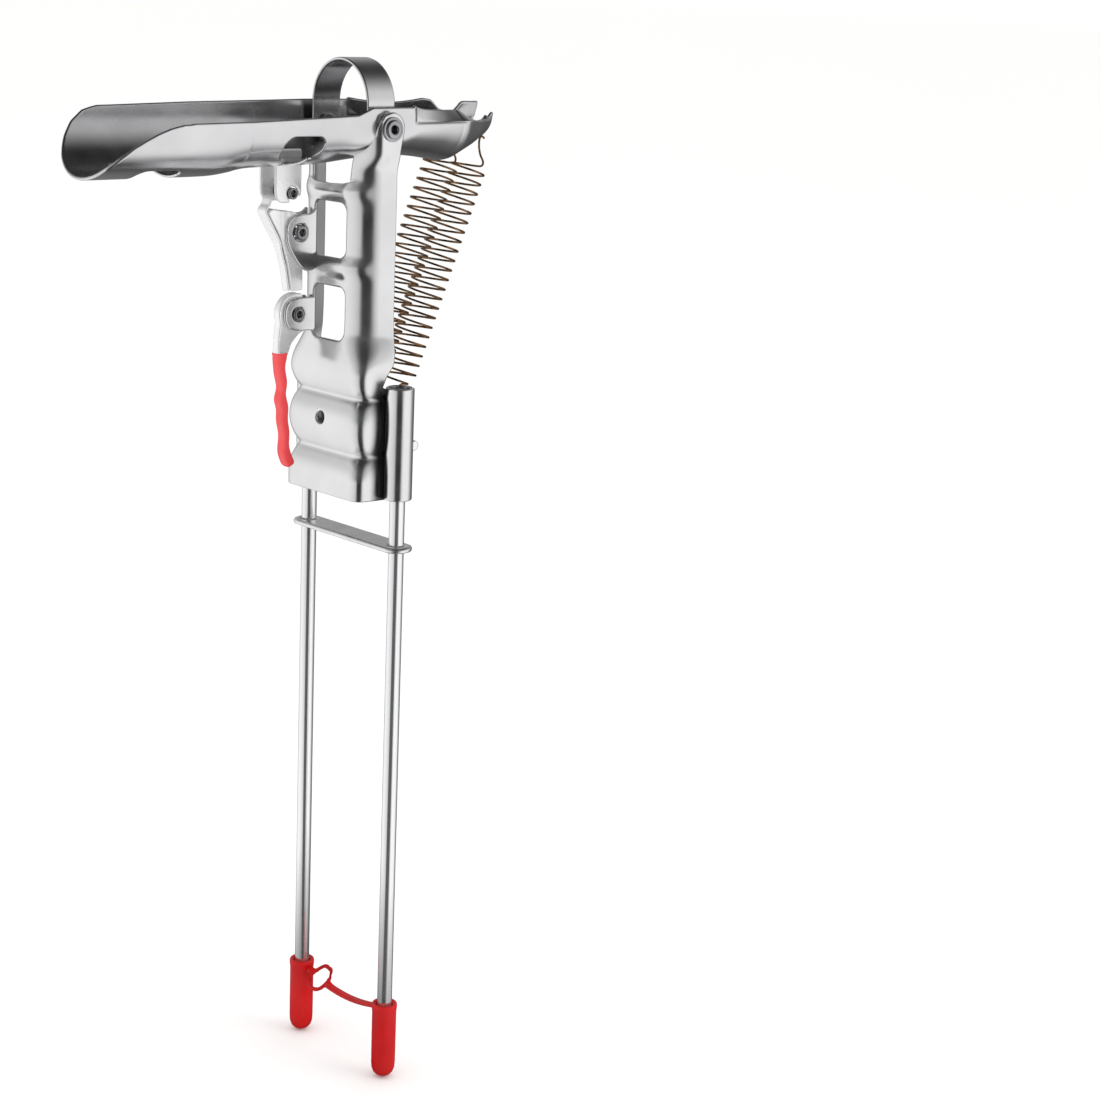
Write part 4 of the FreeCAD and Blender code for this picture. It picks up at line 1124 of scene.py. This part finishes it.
CAMERA_PLACE = Vector((-0.5433, -0.6774, 0.4345))
CAMERA_YAW = math.radians(-43.91)
CAMERA_PITCH = math.radians(13.99)
CAMERA_ROLL = math.radians(2.45)
CAMERA_LENS = 73.94
KEY_PLACE = Vector((0.9, -1.5, 0.9))
KEY_TARGET = Vector((0, 0, 0.3))
KEY_SIZE = 1.2
KEY_WATTS = 9


def make_camera():
    data = bpy.data.cameras.new("camera")
    data.lens = CAMERA_LENS
    data.sensor_width = 36.0
    data.clip_start = 0.01
    data.clip_end = 500.0
    camera = bpy.data.objects.new("camera", data)
    turn = Matrix.Rotation(CAMERA_YAW, 4, "Z") @ Matrix.Rotation(math.pi / 2 - CAMERA_PITCH, 4, "X")
    aim = turn @ Matrix.Rotation(CAMERA_ROLL, 4, "Z")
    camera.matrix_world = Matrix.Translation(CAMERA_PLACE) @ aim
    bpy.context.scene.collection.objects.link(camera)
    bpy.context.scene.camera = camera


def make_key_light():
    """One soft square light in front and to the right, which polished parts do not reflect."""
    data = bpy.data.lights.new("key", "AREA")
    data.shape = "RECTANGLE"
    data.size = KEY_SIZE
    data.size_y = KEY_SIZE
    data.energy = KEY_WATTS
    light = bpy.data.objects.new("key", data)
    aim = (KEY_PLACE - KEY_TARGET).to_track_quat("Z", "Y")
    light.matrix_world = Matrix.Translation(KEY_PLACE) @ aim.to_matrix().to_4x4()
    light.visible_glossy = False
    bpy.context.scene.collection.objects.link(light)


def flat_square(name, reach, height, material):
    """A square round the origin that faces up."""
    mesh = bpy.data.meshes.new(name)
    corners = [(-reach, -reach, 0), (reach, -reach, 0), (reach, reach, 0), (-reach, reach, 0)]
    mesh.from_pydata(corners, [], [(0, 1, 2, 3)])
    mesh.materials.append(material)
    square = bpy.data.objects.new(name, mesh)
    square.location.z = height
    bpy.context.scene.collection.objects.link(square)
    return square


def make_floor():
    material = bpy.data.materials.new("pale_floor")
    material.use_nodes = True
    shader = material.node_tree.nodes["Principled BSDF"]
    shader.inputs["Base Color"].default_value = (0.94, 0.94, 0.94, 1)
    shader.inputs["Roughness"].default_value = 0.9
    shader.inputs["Specular IOR Level"].default_value = 0.1
    floor = flat_square("floor", 60.0, -0.0005, material)


# Studio brightness by compass turn: 0.5 is along +X, 0.75 along +Y, 0 and 1 along -X, 0.25 along -Y.
LOW_PANELS = [(0.0, 0.80), (0.058, 0.62), (0.088, 0.03), (0.190, 0.03), (0.222, 0.72), (0.25, 1.0),
              (0.32, 1.0), (0.385, 0.98), (0.43, 0.5), (0.48, 0.16), (0.60, 0.06), (0.70, 0.24),
              (0.78, 0.86), (0.86, 1.0), (0.93, 0.92), (1.0, 0.80)]
HIGH_PANELS = [(0.0, 0.45), (0.07, 0.10), (0.18, 0.06), (0.24, 0.5), (0.32, 0.72), (0.40, 0.80),
               (0.46, 0.66), (0.52, 0.22), (0.58, 0.30), (0.66, 0.42), (0.80, 0.7), (0.90, 0.7),
               (1.0, 0.45)]


def panel_ramp(tree, place, panels):
    """Nodes that read a brightness from a list of panels by compass turn."""
    turn = add_node(tree, "ShaderNodeTexGradient", links={"Vector": place}, gradient_type="RADIAL")
    chart = add_node(tree, "ShaderNodeValToRGB", links={"Fac": turn.outputs["Fac"]})
    stops = chart.color_ramp.elements
    while len(stops) < len(panels):
        stops.new(0.5)
    for stop, (position, level) in zip(stops, panels):
        stop.position = position
        stop.color = (level, level, level, 1)
    return chart.outputs["Color"]


def make_mirror_floor():
    """Studio panels as polished parts see them below the horizon; only glossy rays see this floor."""
    material = bpy.data.materials.new("mirror_panels")
    material.use_nodes = True
    tree = material.node_tree
    place = add_node(tree, "ShaderNodeTexCoord").outputs["Object"]
    # a dark card lies under the object and fades out into the panels
    away = add_node(tree, "ShaderNodeVectorMath", links={0: place}, operation="LENGTH")
    fade = range_node(tree, away.outputs["Value"], 0.03, 0.22, 0.12, 1.0)
    glow = add_node(tree, "ShaderNodeEmission",
                    links={"Strength": fade, "Color": panel_ramp(tree, place, LOW_PANELS)})
    tree.links.new(glow.outputs["Emission"], tree.nodes["Material Output"].inputs["Surface"])
    floor = flat_square("mirror_floor", 40.0, -0.0002, material)
    floor.visible_camera = False
    floor.visible_shadow = False
    floor.visible_diffuse = False
    floor.visible_transmission = False


def make_world():
    """Plain white, except that polished parts see the studio's panels."""
    world = bpy.data.worlds.new("studio")
    world.use_nodes = True
    tree = world.node_tree
    place = add_node(tree, "ShaderNodeTexCoord").outputs["Generated"]
    up = add_node(tree, "ShaderNodeSeparateXYZ", links={"Vector": place}).outputs["Z"]
    panels = add_node(tree, "ShaderNodeMixRGB",
                      links={"Fac": range_node(tree, up, 0.02, 0.25),
                             "Color1": panel_ramp(tree, place, LOW_PANELS),
                             "Color2": panel_ramp(tree, place, HIGH_PANELS)})
    # the ceiling is dark
    roofed = add_node(tree, "ShaderNodeMixRGB", {"Color2": (0.02, 0.02, 0.02, 1)},
                      {"Fac": range_node(tree, up, 0.40, 0.80), "Color1": panels.outputs["Color"]})
    glossy = add_node(tree, "ShaderNodeLightPath").outputs["Is Glossy Ray"]
    seen = add_node(tree, "ShaderNodeMixRGB", {"Color1": (1.10, 1.10, 1.09, 1)},
                    {"Fac": glossy, "Color2": roofed.outputs["Color"]})
    tree.links.new(seen.outputs["Color"], tree.nodes["Background"].inputs["Color"])
    bpy.context.scene.world = world
    bpy.context.scene.view_settings.view_transform = "Standard"


make_camera()
make_world()
make_floor()
make_mirror_floor()
make_key_light()

make_cradle()
make_stand()
make_hoop()
make_spikes()
make_crossbar()
make_anchor_rod()
make_caps()
make_strap()
make_pivots()
hollow_pin("latch_pin_tube", "latch_pin", 1.6, 2.9, 1.2)
hollow_pin("trigger_pin_tube", "trigger_pin", 1.6, 2.3, 0.8)
hollow_pin("catch_pin_tube", "catch_pin", 1.5, 2.2, 0.8)
make_latch_lever()
make_catch_bracket()
make_roller()
make_trigger()
make_grip()
make_springs()
